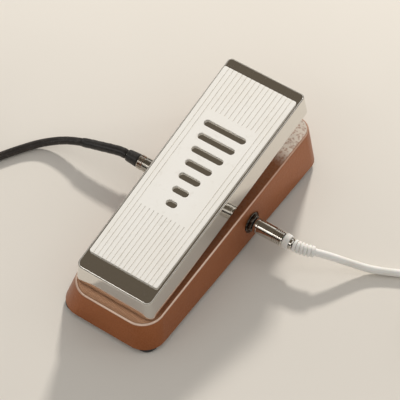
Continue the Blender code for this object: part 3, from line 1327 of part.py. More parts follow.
def right_lead():
    where = {"at": (PLUG_FACE_X, JACK_Y, JACK_Z), "turn": Matrix.Rotation(math.pi / 2, 4, "Y")}
    turned("right_lead_plug", right_barrel() + plug_tip(), CHROME, **where)
    collar("right_lead_collar", RIGHT_COLLAR, RIGHT_BARREL_RADIUS * 1.02,
           RIGHT_BARREL_RADIUS * 0.98, RIGHT_NECK_RADIUS + SEAT, RIGHT_BARREL + SEAT,
           WHITE_CABLE_SKIN, **where)
    start = Vector((PLUG_FACE_X + RIGHT_BARREL + RIGHT_COLLAR + RIGHT_FLANGE + 3 * SEAT, JACK_Y,
                    JACK_Z))
    goal = Vector(RIGHT_ROUTE[0])
    bend = RELIEF_LENGTH / RELIEF_BEND
    points, radii = [], []
    steps = 2 * RELIEF_RIBS
    for index in range(steps + 1):
        share = index / steps
        turn = RELIEF_BEND * share
        drop = (goal.z - start.z) * share * share
        points.append(start + Vector((bend * math.sin(turn), bend * (1 - math.cos(turn)), drop)))
        radii.append(RELIEF_RIB_RADIUS if index % 2 else RELIEF_CORE_RADIUS)
    tube("right_lead_relief", points, RELIEF_RIB_RADIUS, 2, WHITE_CABLE_SKIN, radii)
    _, end, leave = lead("right", RIGHT_ROUTE, RIGHT_CABLE, -1, WHITE_CABLE_SKIN, 0.0,
                         RIGHT_BARREL_RADIUS)
    far_plug("right_lead_far_plug", right_barrel(), RIGHT_BARREL, end, leave, CHROME)


def left_lead():
    where = {"at": (-PLUG_FACE_X, JACK_Y, JACK_Z), "turn": Matrix.Rotation(-math.pi / 2, 4, "Y")}
    turned("left_lead_plug", left_barrel() + plug_tip(), NICKEL, **where)
    collar("left_lead_collar", LEFT_COLLAR, LEFT_COLLAR_RADIUS, LEFT_COLLAR_RADIUS * 0.88,
           LEFT_NECK_RADIUS + SEAT, LEFT_BARREL + SEAT, BLACK_PLASTIC, **where)
    line, end, leave = lead("left", LEFT_ROUTE, LEFT_CABLE, -1, BLACK_CABLE_SKIN,
                            SLEEVE_LENGTH, LEFT_BARREL_RADIUS)
    tube("left_lead_sleeve", stretch(line, 0.0, SLEEVE_LENGTH - SEAT / 2, SLEEVE_RADIUS * 2),
         SLEEVE_RADIUS, 2, BLACK_PLASTIC)
    far_plug("left_lead_far_plug", left_barrel(), LEFT_BARREL, end, leave, NICKEL)


base_housing()
bottom_plate()
feet()
treadle()
treadle_mat()
pivot()
rack_and_pinion()
potentiometer()
toe_switch()
bumpers()
electronics()
jacks()
right_lead()
left_lead()
bpy.context.view_layer.update()
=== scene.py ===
"""Looks of a rocker pedal with two instrument leads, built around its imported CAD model."""

import math

import bmesh
import bpy
from mathutils import Matrix, Vector


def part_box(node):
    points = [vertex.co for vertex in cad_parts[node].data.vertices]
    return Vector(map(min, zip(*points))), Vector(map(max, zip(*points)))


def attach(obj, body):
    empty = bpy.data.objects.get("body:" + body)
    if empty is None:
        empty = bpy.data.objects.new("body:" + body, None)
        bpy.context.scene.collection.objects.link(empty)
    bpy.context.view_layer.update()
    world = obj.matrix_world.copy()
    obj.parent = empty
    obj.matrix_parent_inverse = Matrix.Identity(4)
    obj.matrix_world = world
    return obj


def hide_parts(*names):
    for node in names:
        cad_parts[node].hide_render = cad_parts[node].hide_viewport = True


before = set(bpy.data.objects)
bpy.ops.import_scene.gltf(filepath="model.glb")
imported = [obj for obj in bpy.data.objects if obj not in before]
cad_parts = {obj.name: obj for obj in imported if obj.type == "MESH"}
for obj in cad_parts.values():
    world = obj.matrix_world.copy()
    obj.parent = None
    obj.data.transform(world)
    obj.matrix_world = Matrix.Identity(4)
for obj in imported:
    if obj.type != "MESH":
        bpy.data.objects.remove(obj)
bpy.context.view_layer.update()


# Camera -----------------------------------------------------------------------------------------
# A long lens above the heel's right corner, leaning slightly to one side. It stands well back, so
# the pedal's long sides run nearly parallel in the picture.
VIEW_AZIMUTH = math.radians(30.89)
VIEW_ELEVATION = math.radians(52.83)
VIEW_LEAN = math.radians(3.085)
VIEW_DISTANCE = 1.503
VIEW_TARGET = Vector((0.0018, 0.0102, 0.030))
VIEW_LENS, VIEW_SENSOR = 163.7, 36.0

view_level = math.cos(VIEW_ELEVATION)
view_ahead = Vector((-math.sin(VIEW_AZIMUTH) * view_level, math.cos(VIEW_AZIMUTH) * view_level,
                     -math.sin(VIEW_ELEVATION)))
view_right = Vector((math.cos(VIEW_AZIMUTH), math.sin(VIEW_AZIMUTH), 0.0))
view_up = view_right.cross(view_ahead)
view_lean = Matrix.Rotation(-VIEW_LEAN, 3, view_ahead)
view_turn = Matrix((view_lean @ view_right, view_lean @ view_up, -view_ahead)).transposed()
view_data = bpy.data.cameras.new("view")
view_data.lens = VIEW_LENS
view_data.sensor_width = VIEW_SENSOR
view_data.clip_start, view_data.clip_end = 0.05, 20.0
view = bpy.data.objects.new("view", view_data)
view.matrix_world = (Matrix.Translation(VIEW_TARGET - view_ahead * VIEW_DISTANCE)
                     @ view_turn.to_4x4())
bpy.context.scene.collection.objects.link(view)
bpy.context.scene.camera = view


# Base housing -----------------------------------------------------------------------------------
# One die-cast wedge, open underneath, sprayed with copper brown hammertone enamel. Its pivot posts,
# jack pads and screw posts are cast on, and its holes are drilled and spot-faced afterwards.
BASE_LENGTH, BASE_WIDTH_HEEL, BASE_WIDTH_TOE = 0.253, 0.092, 0.102
BASE_BOTTOM, BASE_TOP_HEEL, BASE_TOP_TOE = 0.0043, 0.0277, 0.048
BASE_DRAFT, BASE_WALL = 0.006, 0.004
BASE_CORNER_HEEL, BASE_CORNER_TOE, BASE_EDGE = 0.0186, 0.0145, 0.0017
BASE_TOP_RUN = BASE_LENGTH - 2 * BASE_DRAFT
CAST_IN = 0.0012
PIVOT_Y, PIVOT_Z = -0.002, 0.050
POST_INNER, POST_OUTER, POST_HALF, POST_TAPER = 0.016, 0.024, 0.0095, 0.0025
POST_HEAD_RADIUS, BUSHING_HOLE = 0.008, 0.0058
BRAKE_PAD_X, BRAKE_PAD_Y, BRAKE_PAD_TOP, BRAKE_HOLE = 0.0135, 0.0075, 0.039, 0.0028
BUMPER_BOSSES = ((-0.098, 0.0075, 0.031), (0.106, 0.0065, 0.048))
JACK_Y, JACK_Z = 0.022, 0.020
JACK_PAD_INNER, JACK_PAD_OUTER, JACK_HOLE = 0.0395, 0.0441, 0.0051
JACK_SPOT_FACE_X, JACK_SPOT_FACE = 0.0444, 0.010
RACK_Y, RACK_SLOT_HALF = 0.0579175, 0.0075
SWITCH_Y, SWITCH_HOLE = 0.088, 0.0063
SCREW_POST, SCREW_HOLE = 0.0045, 0.0021
FOOT_PLACES = {"heel_left": (-0.034041, -0.1143), "heel_right": (0.034041, -0.1143),
               "toe_left": (-0.038559, 0.1143), "toe_right": (0.038559, 0.1143)}
TURNS = {"X": Matrix.Rotation(math.pi / 2, 4, "Y"), "Y": Matrix.Rotation(-math.pi / 2, 4, "X"),
         "Z": Matrix.Identity(4)}


class Finish:
    """A finish's node tree, with short calls for the nodes used here."""

    def __init__(self, name):
        self.material = bpy.data.materials.new(name)
        self.material.use_nodes = True
        self.tree = self.material.node_tree
        self.shader = self.tree.nodes["Principled BSDF"]
        self.place = self.add("ShaderNodeTexCoord").outputs["Object"]

    def add(self, kind, inputs=None, **settings):
        node = self.tree.nodes.new(kind)
        for key, value in settings.items():
            setattr(node, key, value)
        for key, value in (inputs or {}).items():
            self.set(node.inputs[key], value)
        return node

    def set(self, socket, value):
        if isinstance(value, bpy.types.NodeSocket):
            self.tree.links.new(value, socket)
        elif isinstance(value, tuple) and len(value) == 3 and socket.type == "RGBA":
            socket.default_value = (*value, 1.0)
        else:
            socket.default_value = value

    def noise(self, scale, detail=3.0, rough=0.5, stretch=None):
        place = self.place
        if stretch:
            place = self.add("ShaderNodeMapping", {"Vector": place, "Scale": stretch}).outputs[0]
        return self.add("ShaderNodeTexNoise", {"Vector": place, "Scale": scale, "Detail": detail,
                                               "Roughness": rough}).outputs["Fac"]

    def cells(self, scale):
        return self.add("ShaderNodeTexVoronoi", {"Vector": self.place, "Scale": scale},
                        feature="SMOOTH_F1").outputs["Distance"]

    def span(self, value, low, high, to_low=0.0, to_high=1.0):
        return self.add("ShaderNodeMapRange", {"Value": value, "From Min": low, "From Max": high,
                                               "To Min": to_low, "To Max": to_high}).outputs[0]

    def mix(self, share, a, b):
        node = self.add("ShaderNodeMix", data_type="RGBA")
        self.set(node.inputs[0], share)
        self.set(node.inputs[6], a)
        self.set(node.inputs[7], b)
        return node.outputs[2]

    def sum(self, a, b, kind="ADD"):
        return self.add("ShaderNodeMath", {0: a, 1: b}, operation=kind).outputs[0]

    def edges(self, radius):
        """1 on sharp edges and 0 on flat faces, from how far a rounded normal turns away."""
        bevel = self.add("ShaderNodeBevel", {"Radius": radius}, samples=6).outputs[0]
        normal = self.add("ShaderNodeNewGeometry").outputs["Normal"]
        dot = self.add("ShaderNodeVectorMath", {0: bevel, 1: normal},
                       operation="DOT_PRODUCT").outputs["Value"]
        return self.span(dot, 0.995, 0.90)

    def upward(self, low, high):
        """0 to 1 as a face turns up, from low to high of its normal's height."""
        normal = self.add("ShaderNodeNewGeometry").outputs["Normal"]
        return self.span(self.add("ShaderNodeSeparateXYZ", {0: normal}).outputs["Z"], low, high)

    def rim(self):
        """1 on the rounding between the top and the sides."""
        return self.sum(self.upward(0.45, 0.68), self.upward(0.975, 0.94), "MULTIPLY")

    def bump(self, height, strength, distance, below=None):
        inputs = {"Height": height, "Strength": strength, "Distance": distance}
        if below is not None:
            inputs["Normal"] = below
        return self.add("ShaderNodeBump", inputs).outputs[0]

    def done(self, colour, roughness, metallic=0.0, normal=None, **more):
        values = {"Base Color": colour, "Roughness": roughness, "Metallic": metallic, **more}
        if normal is not None:
            values["Normal"] = normal
        for key, value in values.items():
            self.set(self.shader.inputs[key], value)
        return self.material


def hammered_enamel():
    """Orange peel enamel, with painted sheen at toe and heel and a painted highlight on its rim."""
    n = Finish("hammered_enamel")
    broad = n.noise(14, 4.0)
    grain = n.noise(900, 2.0)
    dimples = n.cells(480)
    colour = n.mix(n.span(broad, 0.35, 0.7), (0.30, 0.088, 0.022), (0.37, 0.118, 0.034))
    colour = n.mix(n.span(grain, 0.35, 0.75, 0.0, 0.35), colour, (0.50, 0.19, 0.075))
    along = n.add("ShaderNodeSeparateXYZ", {0: n.place}).outputs["Y"]
    # Painted sheen: pale speckled glints on the level top toward the toe.
    toe = n.sum(n.span(dimples, 0.20, 0.46, 0.45, 1.0),
                n.span(along, 0.068, 0.086, 0.06, 1.0), "MULTIPLY")
    # Painted sheen: a paler tint on the level top of the heel ledge.
    heel = n.span(along, -0.098, -0.114, 0.0, 0.62)
    level = n.upward(0.985, 0.995)
    colour = n.mix(n.sum(toe, level, "MULTIPLY"), colour, (1.0, 0.90, 0.80))
    colour = n.mix(n.sum(heel, level, "MULTIPLY"), colour, (0.86, 0.52, 0.32))
    # Painted highlight: a pale line along the rounding of the top's rim, weaker toward the toe.
    rim_highlight_strength = n.sum(n.span(broad, 0.2, 0.6, 0.6, 1.0), n.span(along, -0.03, 0.05, 1.0, 0.45),
                 "MULTIPLY")
    colour = n.mix(n.sum(n.rim(), rim_highlight_strength, "MULTIPLY"), colour, (0.97, 0.75, 0.61))
    rough = n.span(broad, 0.3, 0.7, 0.36, 0.48)
    normal = n.bump(dimples, 0.7, 0.0002)
    normal = n.bump(grain, 0.35, 0.00006, normal)
    return n.done(colour, rough, 0.5, normal, **{"Coat Weight": 0.15, "Coat Roughness": 0.2})


def add_box(mesh, low, high, drawn_in=0.0):
    low, high = Vector(low), Vector(high)
    middle = (low + high) / 2
    size = Matrix.Diagonal((*(high - low), 1.0))
    made = bmesh.ops.create_cube(mesh, size=1.0, matrix=Matrix.Translation(middle) @ size)
    for vert in made["verts"]:
        if vert.co.z > middle.z:
            vert.co.y -= math.copysign(drawn_in, vert.co.y - middle.y)


def add_rod(mesh, start, length, radius, axis="Z", segments=64):
    along = TURNS[axis].to_3x3() @ Vector((0, 0, length / 2))
    bmesh.ops.create_cone(mesh, cap_ends=True, segments=segments, radius1=radius, radius2=radius,
                          depth=length,
                          matrix=Matrix.Translation(Vector(start) + along) @ TURNS[axis])


def add_wedge(mesh, centre_y, length, width_heel, width_toe, low, high_heel, high_toe,
              draft=0.0, corner=0.0, corner_steps=16, edge=0.0, edge_steps=8, corner_toe=None):
    """A box that widens and rises to the toe, its upright corners and then its top edge rounded."""
    for vert in bmesh.ops.create_cube(mesh, size=1.0)["verts"]:
        toe, high = vert.co.y > 0, vert.co.z > 0
        inset = draft if high else 0.0
        width = width_toe if toe else width_heel
        side, end = math.copysign(1, vert.co.x), math.copysign(1, vert.co.y)
        level = (high_toe if toe else high_heel) if high else low
        vert.co = (side * (width / 2 - inset), centre_y + end * (length / 2 - inset), level)
    top = max(mesh.faces, key=lambda face: face.calc_center_median().z)
    upright = [rib for rib in mesh.edges
               if (rib.verts[0] in top.verts) != (rib.verts[1] in top.verts)]
    if corner:
        at_toe = [rib for rib in upright if rib.verts[0].co.y > centre_y]
        at_heel = [rib for rib in upright if rib.verts[0].co.y < centre_y]
        for ribs, offset in ((at_heel, corner), (at_toe, corner_toe or corner)):
            bmesh.ops.bevel(mesh, geom=ribs, offset=offset, segments=corner_steps, profile=0.5,
                            material=-1, affect="EDGES")
    if edge:
        top = max(mesh.faces, key=lambda face: face.calc_center_median().z)
        bmesh.ops.bevel(mesh, geom=list(top.edges), offset=edge, segments=edge_steps,
                        profile=0.5, material=-1, affect="EDGES")


def mesh_from(name, build):
    work = bmesh.new()
    build(work)
    mesh = bpy.data.meshes.new(name)
    work.to_mesh(mesh)
    work.free()
    return mesh


def solid(name, build, skin, steps=(), matrix=None, bevel=0.0, segments=2, angle=32):
    """A mesh made by build(mesh), then cut and joined in turn by steps of (operation, build)."""
    obj = bpy.data.objects.new(name, mesh_from(name, build))
    bpy.context.scene.collection.objects.link(obj)
    guides = []
    for index, (operation, guide_build) in enumerate(steps):
        guide = bpy.data.objects.new(f"{name}_guide_{index}", mesh_from("guide", guide_build))
        bpy.context.scene.collection.objects.link(guide)
        guides.append(guide)
        step = obj.modifiers.new("step", "BOOLEAN")
        step.operation = operation
        step.solver = "EXACT"
        step.object = guide
    bpy.context.view_layer.update()
    if steps:
        made = bpy.data.meshes.new_from_object(
            obj.evaluated_get(bpy.context.evaluated_depsgraph_get()))
        obj.modifiers.clear()
        obj.data = made
        obj.data.name = name
        for guide in guides:
            bpy.data.objects.remove(guide, do_unlink=True)
    if matrix is not None:
        obj.data.transform(matrix)
    obj.data.materials.clear()
    obj.data.materials.append(skin)
    obj.data.shade_smooth()
    obj.data.set_sharp_from_angle(angle=math.radians(angle))
    if bevel:
        step = obj.modifiers.new("soft_edges", "BEVEL")
        step.width = bevel
        step.segments = segments
        step.limit_method = "ANGLE"
        step.angle_limit = math.radians(angle)
        step.use_clamp_overlap = True
    step = obj.modifiers.new("flat_faces", "WEIGHTED_NORMAL")
    step.keep_sharp = True
    step.weight = 80
    return obj


def goes(obj, body, slot, *nodes):
    """obj rides on a body and stands for these CAD nodes."""
    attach(obj, body)
    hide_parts(*nodes)


def base_top(y):
    return BASE_TOP_HEEL + (BASE_TOP_TOE - BASE_TOP_HEEL) * (y + BASE_TOP_RUN / 2) / BASE_TOP_RUN


def housing_outside(mesh):
    add_wedge(mesh, 0.0, BASE_LENGTH, BASE_WIDTH_HEEL, BASE_WIDTH_TOE, BASE_BOTTOM, BASE_TOP_HEEL,
              BASE_TOP_TOE, BASE_DRAFT, BASE_CORNER_HEEL, 20, BASE_EDGE, 8, BASE_CORNER_TOE)


def housing_hollow(mesh):
    walls = 2 * BASE_WALL
    add_wedge(mesh, 0.0, BASE_LENGTH - walls, BASE_WIDTH_HEEL - walls, BASE_WIDTH_TOE - walls,
              BASE_BOTTOM - 0.001, BASE_TOP_HEEL - BASE_WALL, BASE_TOP_TOE - BASE_WALL,
              BASE_DRAFT, BASE_CORNER_HEEL - BASE_WALL, 12)


def housing_posts(mesh):
    low = base_top(PIVOT_Y - POST_HALF) - CAST_IN
    for side in (-1, 1):
        inner, outer = sorted((side * POST_INNER, side * POST_OUTER))
        add_box(mesh, (inner, PIVOT_Y - POST_HALF, low),
                (outer, PIVOT_Y + POST_HALF, PIVOT_Z + 0.0025), POST_TAPER)
        inner, outer = sorted((side * JACK_PAD_INNER, side * JACK_PAD_OUTER))
        add_box(mesh, (inner, JACK_Y - 0.0105, JACK_Z - 0.0102),
                (outer, JACK_Y + 0.0105, JACK_Z + 0.0105))
    add_box(mesh, (-BRAKE_PAD_X, PIVOT_Y - BRAKE_PAD_Y, low),
            (BRAKE_PAD_X, PIVOT_Y + BRAKE_PAD_Y, BRAKE_PAD_TOP))
    for y, radius, level in BUMPER_BOSSES:
        root = base_top(y - radius) - 2 * CAST_IN
        add_rod(mesh, (0, y, root), level - root, radius)
    for x, y in FOOT_PLACES.values():
        add_rod(mesh, (x, y, 0.0061), 0.0099, SCREW_POST, segments=32)


def housing_post_heads(mesh):
    for side in (-1, 1):
        add_rod(mesh, (min(side * POST_INNER, side * POST_OUTER), PIVOT_Y, PIVOT_Z),
                POST_OUTER - POST_INNER, POST_HEAD_RADIUS, "X")


def housing_holes(mesh):
    for side in (-1, 1):
        add_rod(mesh, (min(side * 0.014, side * 0.026), PIVOT_Y, PIVOT_Z), 0.012, BUSHING_HOLE, "X")
        add_rod(mesh, (min(side * 0.0375, side * 0.0464), JACK_Y, JACK_Z), 0.0089, JACK_HOLE, "X")
    add_rod(mesh, (0, PIVOT_Y, 0.030), 0.0115, BRAKE_HOLE, segments=32)
    add_box(mesh, (-RACK_SLOT_HALF, RACK_Y - RACK_SLOT_HALF, base_top(RACK_Y) - 0.006),
            (RACK_SLOT_HALF, RACK_Y + RACK_SLOT_HALF, base_top(RACK_Y) + 0.002))
    add_rod(mesh, (0, SWITCH_Y, base_top(SWITCH_Y) - 0.006), 0.008, SWITCH_HOLE)
    for x, y in FOOT_PLACES.values():
        add_rod(mesh, (x, y, 0.005), 0.009, SCREW_HOLE, segments=32)


def housing_spot_faces(mesh):
    for side in (-1, 1):
        outer = JACK_SPOT_FACE_X + 0.010
        add_rod(mesh, (min(side * JACK_SPOT_FACE_X, side * outer), JACK_Y, JACK_Z), 0.010,
                JACK_SPOT_FACE, "X")


housing = solid("housing", housing_outside, hammered_enamel(),
                (("DIFFERENCE", housing_hollow), ("UNION", housing_posts),
                 ("UNION", housing_post_heads), ("DIFFERENCE", housing_holes),
                 ("DIFFERENCE", housing_spot_faces)), bevel=0.0004, angle=38)
goes(housing, "base", "copper_paint", "base_housing")


# Bottom plate and feet --------------------------------------------------------------------------
# A stamped, blackened steel plate closes the base. Under each corner sits a moulded rubber foot
# with a stepped recess, held through the plate by a zinc plated screw.
FOOT_HEIGHT, FOOT_RADIUS, FOOT_RECESS, FOOT_HOLE = 0.004, 0.0095, 0.0043, 0.0021


def moulded(name, colour, tint, rough, scale=700, amount=0.3, dust=0.0, **more):
    """Plastic or rubber: a fine grain, a second tone in patches, and dust where it settles."""
    n = Finish(name)
    grain = n.noise(scale, 3.0)
    patches = n.noise(45, 3.0)
    shade = n.mix(n.span(patches, 0.38, 0.7), colour, tint)
    if dust:
        shade = n.mix(n.span(n.noise(420, 4.0, 0.7), 0.56, 0.82, 0.0, dust), shade,
                      (0.45, 0.41, 0.36))
    return n.done(shade, n.span(grain, 0.3, 0.7, rough * 0.85, rough * 1.15), 0.0,
                  n.bump(grain, amount, 0.00008), **more)


def bright_metal(name, colour, dull, rough):
    """Plated metal: dull where it is handled, with its small edges rubbed bright."""
    n = Finish(name)
    wear = n.noise(260, 4.0)
    shade = n.mix(n.span(wear, 0.4, 0.72), colour, dull)
    shade = n.mix(n.sum(n.edges(0.0003), 0.6, "MULTIPLY"), shade, (0.85, 0.83, 0.78))
    return n.done(shade, n.span(wear, 0.3, 0.7, rough * 0.7, rough * 1.4), 1.0,
                  n.bump(wear, 0.015, 0.00003))


def rounded(points, radius, steps=4):
    """A profile with each inner corner replaced by a small arc."""
    points = [Vector(point) for point in points]
    out = [points[0]]
    for before, here, after in zip(points, points[1:], points[2:]):
        reach = min(radius, (here - before).length / 2.2, (after - here).length / 2.2)
        start = here + (before - here).normalized() * reach
        end = here + (after - here).normalized() * reach
        for index in range(steps + 1):
            t = index / steps
            out.append(start.lerp(here, t).lerp(here.lerp(end, t), t))
    return [tuple(point) for point in out + [points[-1]]]


def lathe(name, profile, skin, matrix, ring=False, steps=96, angle=32):
    """A turned piece: (radius, height) down its outer side, about local Z."""
    def turned(mesh):
        verts = [mesh.verts.new((radius, 0, height)) for radius, height in profile]
        pairs = list(zip(verts, verts[1:])) + ([(verts[-1], verts[0])] if ring else [])
        edges = [mesh.edges.new(pair) for pair in pairs]
        bmesh.ops.spin(mesh, geom=verts + edges, angle=2 * math.pi, steps=steps,
                       axis=(0, 0, 1), cent=(0, 0, 0), use_merge=True)
        bmesh.ops.remove_doubles(mesh, verts=mesh.verts, dist=1e-7)
        bmesh.ops.recalc_face_normals(mesh, faces=mesh.faces)
    return solid(name, turned, skin, matrix=matrix, angle=angle)


def smoothing_group():
    """Welds a CAD mesh and shades its round faces smooth, leaving its vertices as they are."""
    group = bpy.data.node_groups.new("smooth_rounds", "GeometryNodeTree")
    group.interface.new_socket("Geometry", in_out="INPUT", socket_type="NodeSocketGeometry")
    group.interface.new_socket("Geometry", in_out="OUTPUT", socket_type="NodeSocketGeometry")
    add, link = group.nodes.new, group.links.new
    start, end = add("NodeGroupInput"), add("NodeGroupOutput")
    weld = add("GeometryNodeMergeByDistance")
    weld.inputs["Distance"].default_value = 0.000002
    faces = add("GeometryNodeSetShadeSmooth")
    faces.domain = "FACE"
    edges = add("GeometryNodeSetShadeSmooth")
    edges.domain = "EDGE"
    edges.inputs["Shade Smooth"].default_value = False
    angle = add("GeometryNodeInputMeshEdgeAngle")
    sharp = add("FunctionNodeCompare")
    sharp.operation = "GREATER_THAN"
    sharp.inputs[1].default_value = math.radians(34)
    link(angle.outputs[0], sharp.inputs[0])
    link(sharp.outputs[0], edges.inputs["Selection"])
    link(start.outputs[0], weld.inputs["Geometry"])
    link(weld.outputs[0], faces.inputs["Geometry"])
    link(faces.outputs[0], edges.inputs["Geometry"])
    link(edges.outputs[0], end.inputs[0])
    return group


SMOOTH_ROUNDS = smoothing_group()


def dress(skin, *names):
    """Small inner pieces keep their CAD shape, with rounded edges and a real finish."""
    for name in names:
        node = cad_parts[name]
        for slot in node.material_slots:
            slot.link = "OBJECT"
            slot.material = skin
        node.modifiers.new("smooth", "NODES").node_group = SMOOTH_ROUNDS
        round_off = node.modifiers.new("soft_edges", "BEVEL")
        round_off.width = 0.00025
        round_off.segments = 2
        round_off.limit_method = "ANGLE"
        round_off.angle_limit = math.radians(40)
        round_off.harden_normals = False


PLATE_STEEL = moulded("blackened_plate", (0.045, 0.042, 0.040), (0.075, 0.07, 0.066), 0.42,
                      scale=1100, amount=0.4, dust=0.3, Metallic=0.6)
FOOT_RUBBER = moulded("foot_rubber", (0.022, 0.021, 0.02), (0.035, 0.033, 0.031), 0.68, 900, 0.5,
                      0.35)
ZINC = bright_metal("zinc_plate", (0.62, 0.61, 0.58), (0.45, 0.44, 0.42), 0.3)
foot_profile = rounded([(FOOT_HOLE, FOOT_HEIGHT), (0.0092, FOOT_HEIGHT), (FOOT_RADIUS, 0.0036),
                        (0.0094, 0.0010), (0.0084, 0.0), (0.0052, 0.0), (FOOT_RECESS, 0.0006),
                        (FOOT_RECESS, 0.0023), (FOOT_HOLE, 0.0023)], 0.0006)
dress(PLATE_STEEL, "bottom_plate")
for corner_name, (foot_x, foot_y) in FOOT_PLACES.items():
    foot = lathe("rubber_foot_" + corner_name, foot_profile, FOOT_RUBBER,
                 Matrix.Translation((foot_x, foot_y, 0)), ring=True, steps=72)
    goes(foot, "base", "black_rubber", "foot_" + corner_name)
    dress(ZINC, "foot_screw_" + corner_name)


# Pivot shaft and brake --------------------------------------------------------------------------
# A ground steel shaft turns in two nylon bushings in the base's posts, and set screws clamp it in
# the treadle. A nylon block under it is pressed up by a screw, as a brake.
NYLON = moulded("natural_nylon", (0.76, 0.74, 0.67), (0.68, 0.65, 0.57), 0.42, 500, 0.15, 0.15,
                **{"Subsurface Weight": 0.1, "Subsurface Scale": 0.002})
dress(ZINC, "pivot_shaft", "shaft_set_screw_left", "shaft_set_screw_right", "tension_screw")
dress(NYLON, "pivot_bushing_left", "pivot_bushing_right", "tension_block")


# Rack and potentiometer -------------------------------------------------------------------------
# A nylon rack hangs from a steel pin in the treadle and turns a nylon pinion on the shaft of a
# panel potentiometer. The potentiometer is bolted to a bent steel bracket in the base.
NICKEL = bright_metal("nickel_plate", (0.52, 0.49, 0.44), (0.33, 0.31, 0.27), 0.2)
dress(NYLON, "gear_rack", "pinion_gear", "rack_guide")
dress(ZINC, "rack_pin", "pot_bracket", "pot_bracket_screw")
dress(NICKEL, "pot_shaft", "pot_body", "pot_nut")


# Toe switch and bumpers -------------------------------------------------------------------------
# A push switch stands up through the base under the treadle's toe, held by its own nut. Two rubber
# bumpers on bosses of the base stop the treadle at each end of its stroke.
BLACK = moulded("satin_black", (0.02, 0.019, 0.018), (0.034, 0.032, 0.03), 0.4, 800, 0.25, 0.2)
dress(BLACK, "toe_switch_body")
dress(NICKEL, "toe_switch_nut", "toe_switch_plunger")
dress(FOOT_RUBBER, "heel_bumper", "toe_bumper")


# Circuit board and battery ----------------------------------------------------------------------
# A small board, held inside the base by two screws, carries a coil, a capacitor and two
# transistors. A nine volt battery with a snap on its end lies in the base too.
def circuit_green():
    """Green solder mask with copper runs showing faintly under it."""
    n = Finish("circuit_green")
    runs = n.add("ShaderNodeTexBrick", {"Vector": n.place, "Scale": 160.0, "Mortar Size": 0.03,
                                        "Color1": (0.02, 0.15, 0.06), "Color2": (0.02, 0.12, 0.05),
                                        "Mortar": (0.05, 0.27, 0.11)}).outputs[0]
    return n.done(runs, n.span(n.noise(300), 0.3, 0.7, 0.3, 0.45), 0.0,
                  n.bump(n.noise(900), 0.2, 0.00005))


dress(circuit_green(), "circuit_board")
dress(ZINC, "board_screw_heel", "board_screw_toe")
dress(NICKEL, "inductor", "transistor_heel", "transistor_toe")
dress(moulded("cell_sleeve", (0.06, 0.065, 0.08), (0.09, 0.095, 0.11), 0.3, 500, 0.1),
      "battery", "capacitor")
dress(BLACK, "battery_snap")


# Jacks ------------------------------------------------------------------------------------------
# Each jack's plastic body is clamped to the base's side wall by a pressed washer with a rolled
# rim and a six-sided nut, both outside the wall and both of tarnished bright metal.
SEAT = 0.0003
WASHER_RADIUS, WASHER_THICKNESS = 0.009, 0.001
NUT_RADIUS = 0.0081


def tarnished_metal():
    n = Finish("dark_chrome")
    wear = n.noise(300, 4.0)
    colour = n.mix(n.span(wear, 0.4, 0.7), (0.10, 0.088, 0.075), (0.26, 0.235, 0.20))
    colour = n.mix(n.edges(0.0004), colour, (0.55, 0.52, 0.47))
    return n.done(colour, n.span(wear, 0.3, 0.7, 0.18, 0.38), 1.0)


def frame_along(origin, direction):
    return Matrix.Translation(origin) @ direction.to_track_quat("Z", "Y").to_matrix().to_4x4()


JACK_METAL = tarnished_metal()
washer_profile = rounded([(JACK_HOLE, 0.0009), (0.0074, 0.0009), (0.0079, WASHER_THICKNESS),
                          (0.0088, WASHER_THICKNESS), (WASHER_RADIUS, 0.0007),
                          (WASHER_RADIUS, 0.0), (JACK_HOLE, 0.0)], 0.0003)
dress(BLACK, "jack_body_left", "jack_body_right")
for side_name, side_sign in (("left", -1), ("right", 1)):
    washer = lathe("jack_ring_" + side_name, washer_profile, JACK_METAL,
                   frame_along(Vector((side_sign * (JACK_SPOT_FACE_X + SEAT), JACK_Y, JACK_Z)),
                               Vector((side_sign, 0, 0))), ring=True)
    goes(washer, "base", "dark_steel", "jack_washer_" + side_name)
    nut_low, nut_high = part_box("jack_nut_" + side_name)

    def nut_blank(mesh, low=nut_low.x, high=nut_high.x):
        add_rod(mesh, (low, JACK_Y, JACK_Z), high - low, NUT_RADIUS, "X", 6)

    def nut_bore(mesh, low=nut_low.x, high=nut_high.x):
        add_rod(mesh, (low - 0.001, JACK_Y, JACK_Z), high - low + 0.002, JACK_HOLE, "X")

    nut = solid("jack_hexagon_" + side_name, nut_blank, JACK_METAL, (("DIFFERENCE", nut_bore),),
                bevel=0.0005, segments=3)
    goes(nut, "base", "dark_steel", "jack_nut_" + side_name)


# Treadle ----------------------------------------------------------------------------------------
# A cast tray, upside down over the pivot, polished and chrome plated. Ears inside it take the shaft
# and the rack's pin, and short stops reach down to the bumpers and the switch.
TREADLE_LENGTH, TREADLE_WIDTH_HEEL, TREADLE_WIDTH_TOE = 0.2285, 0.0701, 0.0745
TREADLE_AHEAD, TREADLE_TOP, TREADLE_WALL = 0.0042, 0.0208, 0.003
TREADLE_DRAFT, TREADLE_SKIRT = 0.0018, 0.0235
TREADLE_CORNER_HEEL, TREADLE_CORNER_TOE, TREADLE_EDGE = 0.0055, 0.0042, 0.0016
TREADLE_RIM = TREADLE_TOP - TREADLE_SKIRT
HEEL_SWELL, HEEL_SWELL_AT = 0.0014, 0.72
SHAFT_EAR_INNER, SHAFT_EAR_OUTER, SHAFT_HOLE = 0.0262, 0.0312, 0.0043
SET_SCREW_X, SET_SCREW_HOLE = 0.0287, 0.0023
RACK_PIN = (0.0597789, -0.0051459)
PIN_EAR_INNER, PIN_EAR_OUTER, PIN_HOLE = 0.0029, 0.0059, 0.0018
TREADLE_STOPS = ((0.0901517, 0.0124467, 0.006), (0.1081154, 0.0092364, 0.004),
                 (-0.0959683, 0.0078948, 0.004))
REST_TILT = math.radians(9.17)
TREADLE_REST = (Matrix.Translation((0, PIVOT_Y, PIVOT_Z))
                @ Matrix.Rotation(REST_TILT, 4, "X"))


